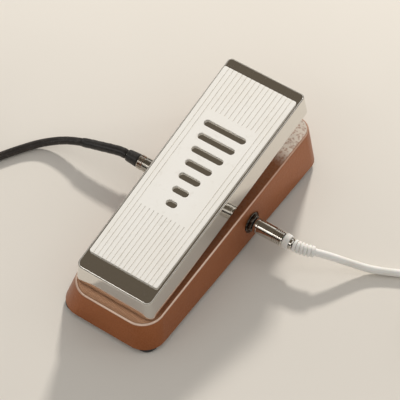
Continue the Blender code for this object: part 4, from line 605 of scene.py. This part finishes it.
def polished_chrome():
    """Chrome plate with faint wipe marks, specks of dust and a slightly warm tone."""
    n = Finish("polished_chrome")
    smear = n.noise(22, 5.0, stretch=(1.0, 0.35, 1.0))
    specks = n.noise(1400, 1.0)
    colour = n.mix(n.span(specks, 0.68, 0.80), (0.80, 0.775, 0.73), (0.55, 0.52, 0.47))
    rough = n.sum(n.span(smear, 0.35, 0.75, 0.045, 0.13), n.span(specks, 0.66, 0.8, 0.0, 0.25))
    normal = n.bump(n.noise(260, 2.0), 0.05, 0.00005)
    return n.done(colour, rough, 1.0, normal)


def round_heel_wall(mesh):
    """The heel wall stands straighter than a plain draft, then rounds under to the rim."""
    depth = TREADLE_TOP - TREADLE_RIM
    for step in range(1, 15):
        level = TREADLE_TOP - 0.002 - (depth - 0.002) * step / 15
        bmesh.ops.bisect_plane(mesh, geom=[*mesh.verts, *mesh.edges, *mesh.faces],
                               plane_co=(0, 0, level), plane_no=(0, 0, 1))
    heel = TREADLE_AHEAD - TREADLE_LENGTH / 2
    for vert in mesh.verts:
        share = (TREADLE_TOP - vert.co.z) / depth
        if share < HEEL_SWELL_AT:
            rise = share / HEEL_SWELL_AT
        else:
            rise = 1 - ((share - HEEL_SWELL_AT) / (1 - HEEL_SWELL_AT)) ** 1.7
        facing = min(max((heel + 0.005 - vert.co.y) / 0.006, 0.0), 1.0)
        vert.co.y -= HEEL_SWELL * rise * facing * (3 - 2 * facing) * facing


def tray_outside(mesh):
    flare = 2 * TREADLE_DRAFT
    add_wedge(mesh, TREADLE_AHEAD, TREADLE_LENGTH + flare, TREADLE_WIDTH_HEEL + flare,
              TREADLE_WIDTH_TOE + flare, TREADLE_RIM, TREADLE_TOP, TREADLE_TOP, TREADLE_DRAFT,
              TREADLE_CORNER_HEEL, 14, TREADLE_EDGE, 10, TREADLE_CORNER_TOE)
    round_heel_wall(mesh)


def tray_hollow(mesh):
    walls = 2 * TREADLE_WALL - 2 * TREADLE_DRAFT
    under = TREADLE_TOP - TREADLE_WALL
    add_wedge(mesh, TREADLE_AHEAD, TREADLE_LENGTH - walls, TREADLE_WIDTH_HEEL - walls,
              TREADLE_WIDTH_TOE - walls, TREADLE_RIM - 0.001, under, under, TREADLE_DRAFT, 0.005, 8)


def tray_ears(mesh):
    root = TREADLE_TOP - TREADLE_WALL + CAST_IN
    for side in (-1, 1):
        inner, outer = sorted((side * SHAFT_EAR_INNER, side * SHAFT_EAR_OUTER))
        add_box(mesh, (inner, -0.009, -0.007), (outer, 0.007, root))
        inner, outer = sorted((side * PIN_EAR_INNER, side * PIN_EAR_OUTER))
        add_box(mesh, (inner, RACK_PIN[0] - 0.004, RACK_PIN[1] - 0.0035),
                (outer, RACK_PIN[0] + 0.004, root))
    for y, low, radius in TREADLE_STOPS:
        add_rod(mesh, (0, y, low), root - low, radius, segments=40)


def tray_shaft_holes(mesh):
    add_rod(mesh, (-0.0332, 0, 0), 0.0664, SHAFT_HOLE, "X", 48)
    add_rod(mesh, (-0.0079, *RACK_PIN), 0.0158, PIN_HOLE, "X", 32)


def tray_screw_holes(mesh):
    for side in (-1, 1):
        add_rod(mesh, (side * SET_SCREW_X, -0.011, 0), 0.0073, SET_SCREW_HOLE, "Y", 32)


tray = solid("treadle_tray", tray_outside, polished_chrome(),
             (("DIFFERENCE", tray_hollow), ("UNION", tray_ears), ("DIFFERENCE", tray_shaft_holes),
              ("DIFFERENCE", tray_screw_holes)), TREADLE_REST, bevel=0.0003, angle=40)
goes(tray, "treadle_assembly", "chrome", "treadle")


# Treadle mat ------------------------------------------------------------------------------------
# A sheet of cream rubber, moulded with long grooves between its ribs and a plain panel in the
# middle, where seven slots of growing width pass through it. It is glued on the tray's top.
MAT_BAND_HEEL, MAT_BAND_TOE = 0.0155, 0.0108
MAT_BAND_SIDE_HEEL, MAT_BAND_SIDE_TOE = 0.0029, 0.0022
MAT_THICKNESS, MAT_CORNER, MAT_PASS = 0.0016, 0.0015, 0.002
GROOVE_STEPS, GROOVE_LONG_STEP, GROOVE_WIDTH, GROOVE_DEPTH = 8, 6, 0.0007, 0.0007
PANEL_START, PANEL_END = 0.0566, 0.1597
BAR_COUNT, BAR_START, BAR_PITCH, BAR_LENGTH = 7, 0.0690, 0.0131, 0.0064
BAR_WIDTH, BAR_GROWTH = 0.010, 0.030
MAT_HEEL = TREADLE_AHEAD - TREADLE_LENGTH / 2 + MAT_BAND_HEEL
MAT_TOE = TREADLE_AHEAD + TREADLE_LENGTH / 2 - MAT_BAND_TOE
MAT_HALF_HEEL = TREADLE_WIDTH_HEEL / 2 - MAT_BAND_SIDE_HEEL
MAT_HALF_TOE = TREADLE_WIDTH_TOE / 2 - MAT_BAND_SIDE_TOE
MAT_LOW = TREADLE_TOP + SEAT
MAT_HIGH = MAT_LOW + MAT_THICKNESS


def cream_rubber():
    """Moulded cream rubber: a fine matt grain, grey dust in scattered spots, yellowed in broad
    patches.
    """
    n = Finish("cream_rubber")
    patches = n.noise(18, 4.0)
    grain = n.noise(1600, 2.0)
    dust = n.noise(160, 4.0, 0.65)
    colour = n.mix(n.span(patches, 0.35, 0.7), (0.95, 0.93, 0.885), (0.915, 0.885, 0.825))
    colour = n.mix(n.span(dust, 0.58, 0.8, 0.0, 0.3), colour, (0.60, 0.54, 0.45))
    colour = n.mix(n.span(grain, 0.4, 0.8, 0.0, 0.2), colour, (0.93, 0.91, 0.87))
    return n.done(colour, n.span(dust, 0.3, 0.7, 0.5, 0.68), 0.0, n.bump(grain, 0.3, 0.00006))


def add_groove(mesh, share, heel, toe):
    """A straight cut at this share of the mat's half width, which fans out with the mat."""
    for vert in bmesh.ops.create_cube(mesh, size=1.0)["verts"]:
        y = toe if vert.co.y > 0 else heel
        along = (y - MAT_HEEL) / (MAT_TOE - MAT_HEEL)
        half = MAT_HALF_HEEL + (MAT_HALF_TOE - MAT_HALF_HEEL) * along
        level = MAT_HIGH + MAT_PASS if vert.co.z > 0 else MAT_HIGH - GROOVE_DEPTH
        vert.co = (share * half + math.copysign(GROOVE_WIDTH / 2, vert.co.x), y, level)


def mat_sheet(mesh):
    add_wedge(mesh, (MAT_HEEL + MAT_TOE) / 2, MAT_TOE - MAT_HEEL, 2 * MAT_HALF_HEEL,
              2 * MAT_HALF_TOE, MAT_LOW, MAT_HIGH, MAT_HIGH, corner=MAT_CORNER, corner_steps=6)


def mat_grooves(mesh):
    for step in range(1 - GROOVE_STEPS, GROOVE_STEPS):
        runs = [(MAT_HEEL - MAT_PASS, MAT_TOE + MAT_PASS)]
        if abs(step) < GROOVE_LONG_STEP:
            runs = [(MAT_HEEL - MAT_PASS, MAT_HEEL + PANEL_START),
                    (MAT_HEEL + PANEL_END, MAT_TOE + MAT_PASS)]
        for start, end in runs:
            add_groove(mesh, step / GROOVE_STEPS, start, end)


def mat_level_bars(mesh):
    for index in range(BAR_COUNT):
        width = BAR_WIDTH + BAR_GROWTH * index / (BAR_COUNT - 1)
        bar = bmesh.new()
        add_wedge(bar, MAT_HEEL + BAR_START + index * BAR_PITCH, BAR_LENGTH, width, width,
                  MAT_LOW - MAT_PASS, MAT_HIGH + MAT_PASS, MAT_HIGH + MAT_PASS,
                  corner=BAR_LENGTH * 0.49, corner_steps=10)
        piece = bpy.data.meshes.new("bar")
        bar.to_mesh(piece)
        bar.free()
        mesh.from_mesh(piece)
        bpy.data.meshes.remove(piece)


mat = solid("mat", mat_sheet, cream_rubber(),
            (("DIFFERENCE", mat_grooves), ("DIFFERENCE", mat_level_bars)), TREADLE_REST,
            bevel=0.00022, segments=3, angle=40)
goes(mat, "treadle_assembly", "cream_rubber", "treadle_mat")


# Right lead -------------------------------------------------------------------------------------
# A white two metre lead: a chrome plated plug turned with fine rings, a white collar and a ribbed
# relief moulded on. It runs down to the floor and lies in a flat coil, its far plug beside it.
PLUG_FACE_X = 0.0497
RIGHT_CABLE, RIGHT_BARREL, RIGHT_BARREL_RADIUS, RIGHT_COLLAR = 0.0065, 0.0276, 0.0065, 0.0055
RIGHT_RINGS, RING_PITCH, RING_ROOT = 5, 0.0017, 0.89
RELIEF_START, RELIEF_ARC, RELIEF_BEND = 0.0367, 0.0165, math.radians(25.0)
RELIEF_RIBS, RELIEF_CORE, RELIEF_RIB, RELIEF_END = 6, 0.0034, 0.0054, 0.0048
RIGHT_ROUTE = [(0.1033, 0.0257, 0.0193), (0.1100, 0.0289, 0.0178), (0.1178, 0.0328, 0.0152),
               (0.1268, 0.0373, 0.0115), (0.1357, 0.0418, 0.0080), (0.1443, 0.0461, 0.0052),
               (0.1537, 0.0507, 0.0038), (0.1684, 0.0582, 0.00335), (0.1875, 0.0672, 0.00335),
               (0.2060, 0.0760, 0.00335), (0.2240, 0.0846, 0.00335)]
COIL_TURNS, COIL_SPIN, COIL_POINTS = 7.25, -1, 48
COIL_MEAN_RADIUS, COIL_AIR, COIL_TAIL = 0.0395, 0.0007, 0.050
FLOOR_AIR = 0.0001


def smooth_route(points, samples=24):
    """A smooth curve through the points of a route."""
    points = [Vector(point) for point in points]
    ends = [2 * points[0] - points[1], *points, 2 * points[-1] - points[-2]]
    line = []
    for a, b, c, d in zip(ends, ends[1:], ends[2:], ends[3:]):
        t1 = math.sqrt((b - a).length)
        t2 = t1 + math.sqrt((c - b).length)
        t3 = t2 + math.sqrt((d - c).length)
        for index in range(samples):
            t = t1 + (t2 - t1) * index / samples
            ab, bc = a.lerp(b, t / t1), b.lerp(c, (t - t1) / (t2 - t1))
            cd = c.lerp(d, (t - t2) / (t3 - t2))
            low, high = ab.lerp(bc, t / t2), bc.lerp(cd, (t - t1) / (t3 - t1))
            line.append(low.lerp(high, (t - t1) / (t2 - t1)))
    return line + [points[-1]]


def walk(line, start, end, step):
    """Evenly spaced points along a line, from start to end of its length."""
    total = [0.0]
    for a, b in zip(line, line[1:]):
        total.append(total[-1] + (b - a).length)
    count = max(1, round((min(end, total[-1]) - start) / step))
    out, index = [], 0
    for number in range(count + 1):
        goal = start + (min(end, total[-1]) - start) * number / count
        while index < len(line) - 2 and total[index + 1] < goal:
            index += 1
        span = total[index + 1] - total[index]
        out.append(line[index].lerp(line[index + 1], (goal - total[index]) / span))
    return out


def coil_points(start, heading, diameter, plug_z):
    """A flat spiral in, a step up and a spiral out over it, then a tail down to the plug."""
    pitch = diameter + COIL_AIR
    half_turns = COIL_TURNS / 2
    outer = COIL_MEAN_RADIUS + pitch * half_turns / 2
    inner = COIL_MEAN_RADIUS - pitch * half_turns / 2
    ahead = Vector((heading.x, heading.y, 0.0)).normalized()
    outward = Vector((ahead.y * COIL_SPIN, -ahead.x * COIL_SPIN, 0.0))
    centre = Vector((start.x, start.y, 0.0)) - outward * outer
    points = []
    for index in range(round(COIL_TURNS * COIL_POINTS) + 1):
        turns = index / COIL_POINTS
        radius = inner + (outer - inner) * abs(turns - half_turns) / half_turns
        climb = min(max((turns - half_turns) * 2 + 0.5, 0.0), 1.0)
        level = diameter / 2 + FLOOR_AIR + pitch * climb * climb * (3 - 2 * climb)
        spoke = Matrix.Rotation(COIL_SPIN * 2 * math.pi * turns, 3, "Z") @ outward
        points.append(centre + spoke * radius + Vector((0, 0, level)))
    leave = Matrix.Rotation(COIL_SPIN * 2 * math.pi * COIL_TURNS, 3, "Z") @ ahead
    last = points[-1]
    clear = COIL_TAIL * 0.55
    for step in range(1, 17):
        run = COIL_TAIL * step / 16
        drop = min(max((run - clear) / (COIL_TAIL - diameter - clear), 0.0), 1.0)
        level = last.z + (plug_z - last.z) * drop * drop * (3 - 2 * drop)
        points.append(Vector((last.x, last.y, 0.0)) + leave * run + Vector((0, 0, level)))
    return points, leave


def tube(name, points, radius, skin, radii=None):
    curve = bpy.data.curves.new(name, "CURVE")
    curve.dimensions = "3D"
    curve.bevel_depth = radius
    curve.bevel_resolution = 6
    curve.use_fill_caps = True
    curve.resolution_u = 1
    curve.materials.append(skin)
    spline = curve.splines.new("POLY")
    spline.points.add(len(points) - 1)
    spline.use_smooth = True
    for index, point in enumerate(points):
        spline.points[index].co = (*point, 1.0)
        spline.points[index].radius = radii[index] / radius if radii else 1.0
    obj = bpy.data.objects.new(name, curve)
    bpy.context.scene.collection.objects.link(obj)
    return obj


def plug_tip():
    """The quarter inch tip, from the barrel's face down to its point."""
    r = 0.003175
    return [(r, -0.0002), (r, -0.0126), (r * 0.985, -0.0128), (r * 0.985, -0.0136), (r, -0.0138),
            (r, -0.0215), (r * 0.93, -0.0218), (r * 0.72, -0.0234), (r * 0.74, -0.0240),
            (r * 0.9, -0.0254), (r * 0.98, -0.0263), (r * 0.93, -0.0272), (r * 0.72, -0.0286),
            (r * 0.5, -0.0296), (r * 0.26, -0.0303), (0.0, -0.0307)]


def collar_profile(start, length, near, far, bore):
    return rounded([(bore, start + length), (far * 0.9, start + length),
                    (far, start + length - 0.0008), (near, start + 0.0008), (near * 0.93, start),
                    (bore, start)], 0.0005)


def lay_lead(side, line, diameter, skin, slot, cut, far_profile, barrel, barrel_radius,
             metal, metal_slot):
    """One unbroken cable through the free stretch and the coil, and the far plug it ends in."""
    free = walk(line, cut + SEAT / 2, 10.0, diameter)
    heading = (line[-1] - line[-2]).normalized()
    touch = line[-1] + heading * (SEAT / 2 + diameter)
    loops, leave = coil_points(touch, heading, diameter, barrel_radius + FLOOR_AIR)
    points = free + loops
    cable = tube(side + "_cable", points, diameter / 2, skin)
    goes(cable, "base", slot, side + "_lead_cord", side + "_lead_coil")
    length = sum((b - a).length for a, b in zip(points, points[1:]))
    far = lathe(side + "_far_plug", far_profile, metal,
                frame_along(loops[-1] + leave * (barrel + SEAT), -leave))
    goes(far, "base", metal_slot, side + "_lead_far_plug")
    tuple(points[0])


def right_plug_profile(collar):
    """Bright barrel with five fine rings near its back, and a flange behind the white collar."""
    end, r = RIGHT_BARREL, RIGHT_BARREL_RADIUS
    back = end + RIGHT_COLLAR + 2 * SEAT
    head = [(0.0, back + 0.0027), (r * 0.72, back + 0.0027), (r * 0.80, back + 0.0020),
            (r * 0.80, back), (0.004, back), (0.004, end)] if collar else [(0.0, end)]
    points = head + [(r * 0.93, end), (r, end - 0.0005)]
    for ring in range(RIGHT_RINGS):
        top = end - 0.0010 - RING_PITCH * ring
        points += [(r, top), (r * RING_ROOT, top - 0.0003), (r * RING_ROOT, top - 0.0007),
                   (r, top - 0.0010)]
    points += [(r, 0.0042), (r * 0.975, 0.0039), (r * 0.975, 0.0033), (r, 0.0030), (r, 0.0008),
               (r * 0.96, 0.0002), (r * 0.88, 0.0)]
    return points + plug_tip()


def relief_line(route):
    """The relief bends out of the collar in a short arc, and laps just over the cable's start."""
    start = Vector((PLUG_FACE_X + RELIEF_START, JACK_Y, JACK_Z))
    goal = Vector(RIGHT_ROUTE[0])
    bend = RELIEF_ARC / RELIEF_BEND
    arc = []
    for index in range(49):
        share = index / 48
        turn = RELIEF_BEND * share
        arc.append(start + Vector((bend * math.sin(turn), bend * (1 - math.cos(turn)),
                                   (goal.z - start.z) * share * share)))
    return arc + walk(route, 0.0004, 0.0010, 0.0003)


def ribbed(name, line, skin):
    """Round ribs along a line, tapering to the cable."""
    whole = sum((b - a).length for a, b in zip(line, line[1:]))
    points = walk(line, 0.0, whole, whole / (RELIEF_RIBS * 10))
    steps = len(points) - 1
    radii = []
    for index in range(steps + 1):
        share = index / steps
        wave = min(1.0, 1.5 * abs(math.sin(math.pi * RELIEF_RIBS * share))) ** 0.6
        outer = RELIEF_RIB + (RELIEF_END - RELIEF_RIB) * share ** 3
        radii.append(RELIEF_CORE + (outer - RELIEF_CORE) * wave)
    return tube(name, points, RELIEF_RIB, skin, radii)


PLUG_CHROME = bright_metal("plug_chrome", (0.74, 0.71, 0.66), (0.60, 0.57, 0.52), 0.09)
WHITE_JACKET = moulded("white_jacket", (0.84, 0.83, 0.80), (0.77, 0.75, 0.70), 0.38, 600, 0.12,
                       0.12, **{"Subsurface Weight": 0.05, "Subsurface Scale": 0.001})
right_at = frame_along(Vector((PLUG_FACE_X, JACK_Y, JACK_Z)), Vector((1, 0, 0)))
right_line = smooth_route(RIGHT_ROUTE)
right_plug = lathe("right_plug", right_plug_profile(True), PLUG_CHROME, right_at)
goes(right_plug, "base", "chrome", "right_lead_plug")
right_collar = lathe("right_collar",
                     collar_profile(RIGHT_BARREL + SEAT, RIGHT_COLLAR, 0.00663, 0.00637, 0.0043),
                     WHITE_JACKET, right_at, ring=True)
goes(right_collar, "base", "white_cable", "right_lead_collar")
right_relief = ribbed("right_relief", relief_line(right_line), WHITE_JACKET)
goes(right_relief, "base", "white_cable", "right_lead_relief")
lay_lead("right", right_line, RIGHT_CABLE, WHITE_JACKET, "white_cable", 0.0,
         right_plug_profile(False), RIGHT_BARREL,
         RIGHT_BARREL_RADIUS, PLUG_CHROME, "chrome")


# Left lead --------------------------------------------------------------------------------------
# A black two metre lead: a nickel plated plug with a waist and three fine grooves, a black collar
# and a long shrunk sleeve over the cable. It curves toward the heel and lies in a coil there.
LEFT_CABLE, LEFT_BARREL, LEFT_BARREL_RADIUS, LEFT_COLLAR = 0.0070, 0.0172, 0.0064, 0.0115
SLEEVE_LENGTH, SLEEVE_RADIUS = 0.043, 0.0045
LEFT_ROUTE = [(-0.0796, 0.0220, 0.0200), (-0.0860, 0.0217, 0.0198), (-0.0930, 0.0203, 0.0192),
              (-0.1044, 0.0179, 0.0176), (-0.1160, 0.0157, 0.0156), (-0.1260, 0.0140, 0.0129),
              (-0.1377, 0.0104, 0.0095), (-0.1482, 0.0045, 0.0064), (-0.1571, -0.0034, 0.0045),
              (-0.1640, -0.0125, 0.0037), (-0.1700, -0.0220, 0.0036), (-0.1757, -0.0320, 0.0036),
              (-0.1845, -0.0475, 0.0036), (-0.1935, -0.0635, 0.0036), (-0.2000, -0.0750, 0.0036)]


def left_plug_profile(collar):
    end, r = LEFT_BARREL, LEFT_BARREL_RADIUS
    back = end + LEFT_COLLAR + 2 * SEAT
    head = [(0.0, back), (0.0039, back), (0.0039, end)] if collar else [(0.0, end)]
    points = head + [(r * 0.92, end), (r, end - 0.0007)]
    for groove in range(3):
        top = end - 0.0013 - 0.0009 * groove
        points += [(r, top), (r * 0.965, top - 0.0003), (r, top - 0.0006)]
    points += [(r, 0.0128), (r * 0.93, 0.0122), (r * 0.93, 0.0112), (r, 0.0106), (r, 0.0008),
               (r * 0.96, 0.0002), (r * 0.88, 0.0)]
    return points + plug_tip()


def shrunk_sleeve(line, skin):
    """The sleeve narrows along the cable, draws in at both ends and ripples a little."""
    points = walk(line, 0.0, SLEEVE_LENGTH - SEAT / 2, 0.001)
    radii = []
    for index in range(len(points)):
        run = index / (len(points) - 1)
        ripple = 0.00006 * math.sin(run * 37.0) + 0.00004 * math.sin(run * 83.0 + 1.0)
        ends = min(1.0, min(run, 1 - run) * 18)
        radii.append(0.0044 - 0.0003 * run - 0.0005 * (1 - ends) ** 2 + ripple)
    return tube("left_sleeve", points, SLEEVE_RADIUS, skin, radii)


BLACK_JACKET = moulded("black_jacket", (0.020, 0.016, 0.014), (0.036, 0.03, 0.026), 0.42, 800,
                       0.25, 0.25)
SLEEVE_SKIN = moulded("black_sleeve", (0.017, 0.015, 0.014), (0.03, 0.027, 0.025), 0.36, 600, 0.3,
                      0.15)
left_at = frame_along(Vector((-PLUG_FACE_X, JACK_Y, JACK_Z)), Vector((-1, 0, 0)))
left_line = smooth_route(LEFT_ROUTE)
left_plug = lathe("left_plug", left_plug_profile(True), NICKEL, left_at)
goes(left_plug, "base", "nickel", "left_lead_plug")
left_collar = lathe("left_collar",
                    collar_profile(LEFT_BARREL + SEAT, LEFT_COLLAR, 0.0060, 0.0053, 0.0042),
                    BLACK, left_at, ring=True)
goes(left_collar, "base", "black_plastic", "left_lead_collar")
left_sleeve = shrunk_sleeve(left_line, SLEEVE_SKIN)
goes(left_sleeve, "base", "black_plastic", "left_lead_sleeve")
lay_lead("left", left_line, LEFT_CABLE, BLACK_JACKET, "black_cable", SLEEVE_LENGTH,
         left_plug_profile(False), LEFT_BARREL,
         LEFT_BARREL_RADIUS, NICKEL, "nickel")


# Floor ------------------------------------------------------------------------------------------
# A plain pale studio floor, painted and very slightly uneven in tone. It is only a stage, and is
# no part of the pedal.
def floor_sheet(mesh):
    bmesh.ops.create_grid(mesh, x_segments=1, y_segments=1, size=6.0)


def pale_paint():
    n = Finish("pale_floor")
    tone = n.noise(3, 3.0)
    colour = n.mix(n.span(tone, 0.3, 0.7), (0.70, 0.665, 0.61), (0.73, 0.695, 0.64))
    return n.done(colour, 0.6, 0.0, n.bump(n.noise(350, 3.0), 0.15, 0.0001))


floor = bpy.data.objects.new("floor", mesh_from("floor", floor_sheet))
floor.data.materials.append(pale_paint())
bpy.context.scene.collection.objects.link(floor)


# Light ------------------------------------------------------------------------------------------
# One key lamp stands beyond the toe, with two weak strips at the heel and the right. The world is
# pale, but bright metal mirrors a dim room with one pale band part of the way up.
def studio_lamp(name, place, size, power, colour, glossy=True):
    data = bpy.data.lights.new(name, "AREA")
    data.shape = "RECTANGLE"
    data.size, data.size_y = size
    data.energy = power
    data.color = colour
    lamp = bpy.data.objects.new(name, data)
    lamp.location = place
    lamp.rotation_euler = (-Vector(place)).to_track_quat("-Z", "Y").to_euler()
    lamp.visible_glossy = glossy
    bpy.context.scene.collection.objects.link(lamp)


studio_lamp("key", (-0.75, 1.85, 1.06), (0.24, 0.16), 48, (1.0, 0.955, 0.89), glossy=False)
studio_lamp("heel_strip", (-0.62, -1.25, 1.45), (0.9, 0.16), 1.6, (1.0, 0.97, 0.93))
studio_lamp("side_strip", (1.15, 0.95, 1.25), (0.16, 0.9), 1.6, (1.0, 0.97, 0.93))

studio = bpy.data.worlds.new("studio")
studio.use_nodes = True
add_node, link_nodes = studio.node_tree.nodes.new, studio.node_tree.links.new
room = studio.node_tree.nodes["Background"]
room.inputs["Color"].default_value = (0.92, 0.90, 0.87, 1)
room.inputs["Strength"].default_value = 0.60
mirrored = add_node("ShaderNodeBackground")
mirrored.inputs["Strength"].default_value = 1.0
height = add_node("ShaderNodeSeparateXYZ")
link_nodes(add_node("ShaderNodeTexCoord").outputs["Generated"], height.inputs[0])
walls = add_node("ShaderNodeValToRGB")
walls.color_ramp.elements[0].position = 0.43
walls.color_ramp.elements[0].color = (0.03, 0.025, 0.02, 1)
walls.color_ramp.elements[1].position = 1.0
walls.color_ramp.elements[1].color = (0.115, 0.095, 0.07, 1)
for wall_height, wall_colour in ((0.47, (1.0, 0.97, 0.93, 1)), (0.67, (1.0, 0.97, 0.93, 1)),
                                 (0.76, (0.16, 0.135, 0.105, 1))):
    walls.color_ramp.elements.new(wall_height).color = wall_colour
link_nodes(height.outputs["Z"], walls.inputs[0])
link_nodes(walls.outputs[0], mirrored.inputs["Color"])
backdrop = add_node("ShaderNodeBackground")
backdrop.inputs["Color"].default_value = (0.86, 0.84, 0.81, 1)
ray = add_node("ShaderNodeLightPath")
by_mirror, by_camera = add_node("ShaderNodeMixShader"), add_node("ShaderNodeMixShader")
link_nodes(ray.outputs["Is Glossy Ray"], by_mirror.inputs[0])
link_nodes(room.outputs[0], by_mirror.inputs[1])
link_nodes(mirrored.outputs[0], by_mirror.inputs[2])
link_nodes(ray.outputs["Is Camera Ray"], by_camera.inputs[0])
link_nodes(by_mirror.outputs[0], by_camera.inputs[1])
link_nodes(backdrop.outputs[0], by_camera.inputs[2])
link_nodes(by_camera.outputs[0], studio.node_tree.nodes["World Output"].inputs["Surface"])
bpy.context.scene.world = studio
bpy.context.scene.view_settings.view_transform = "Standard"
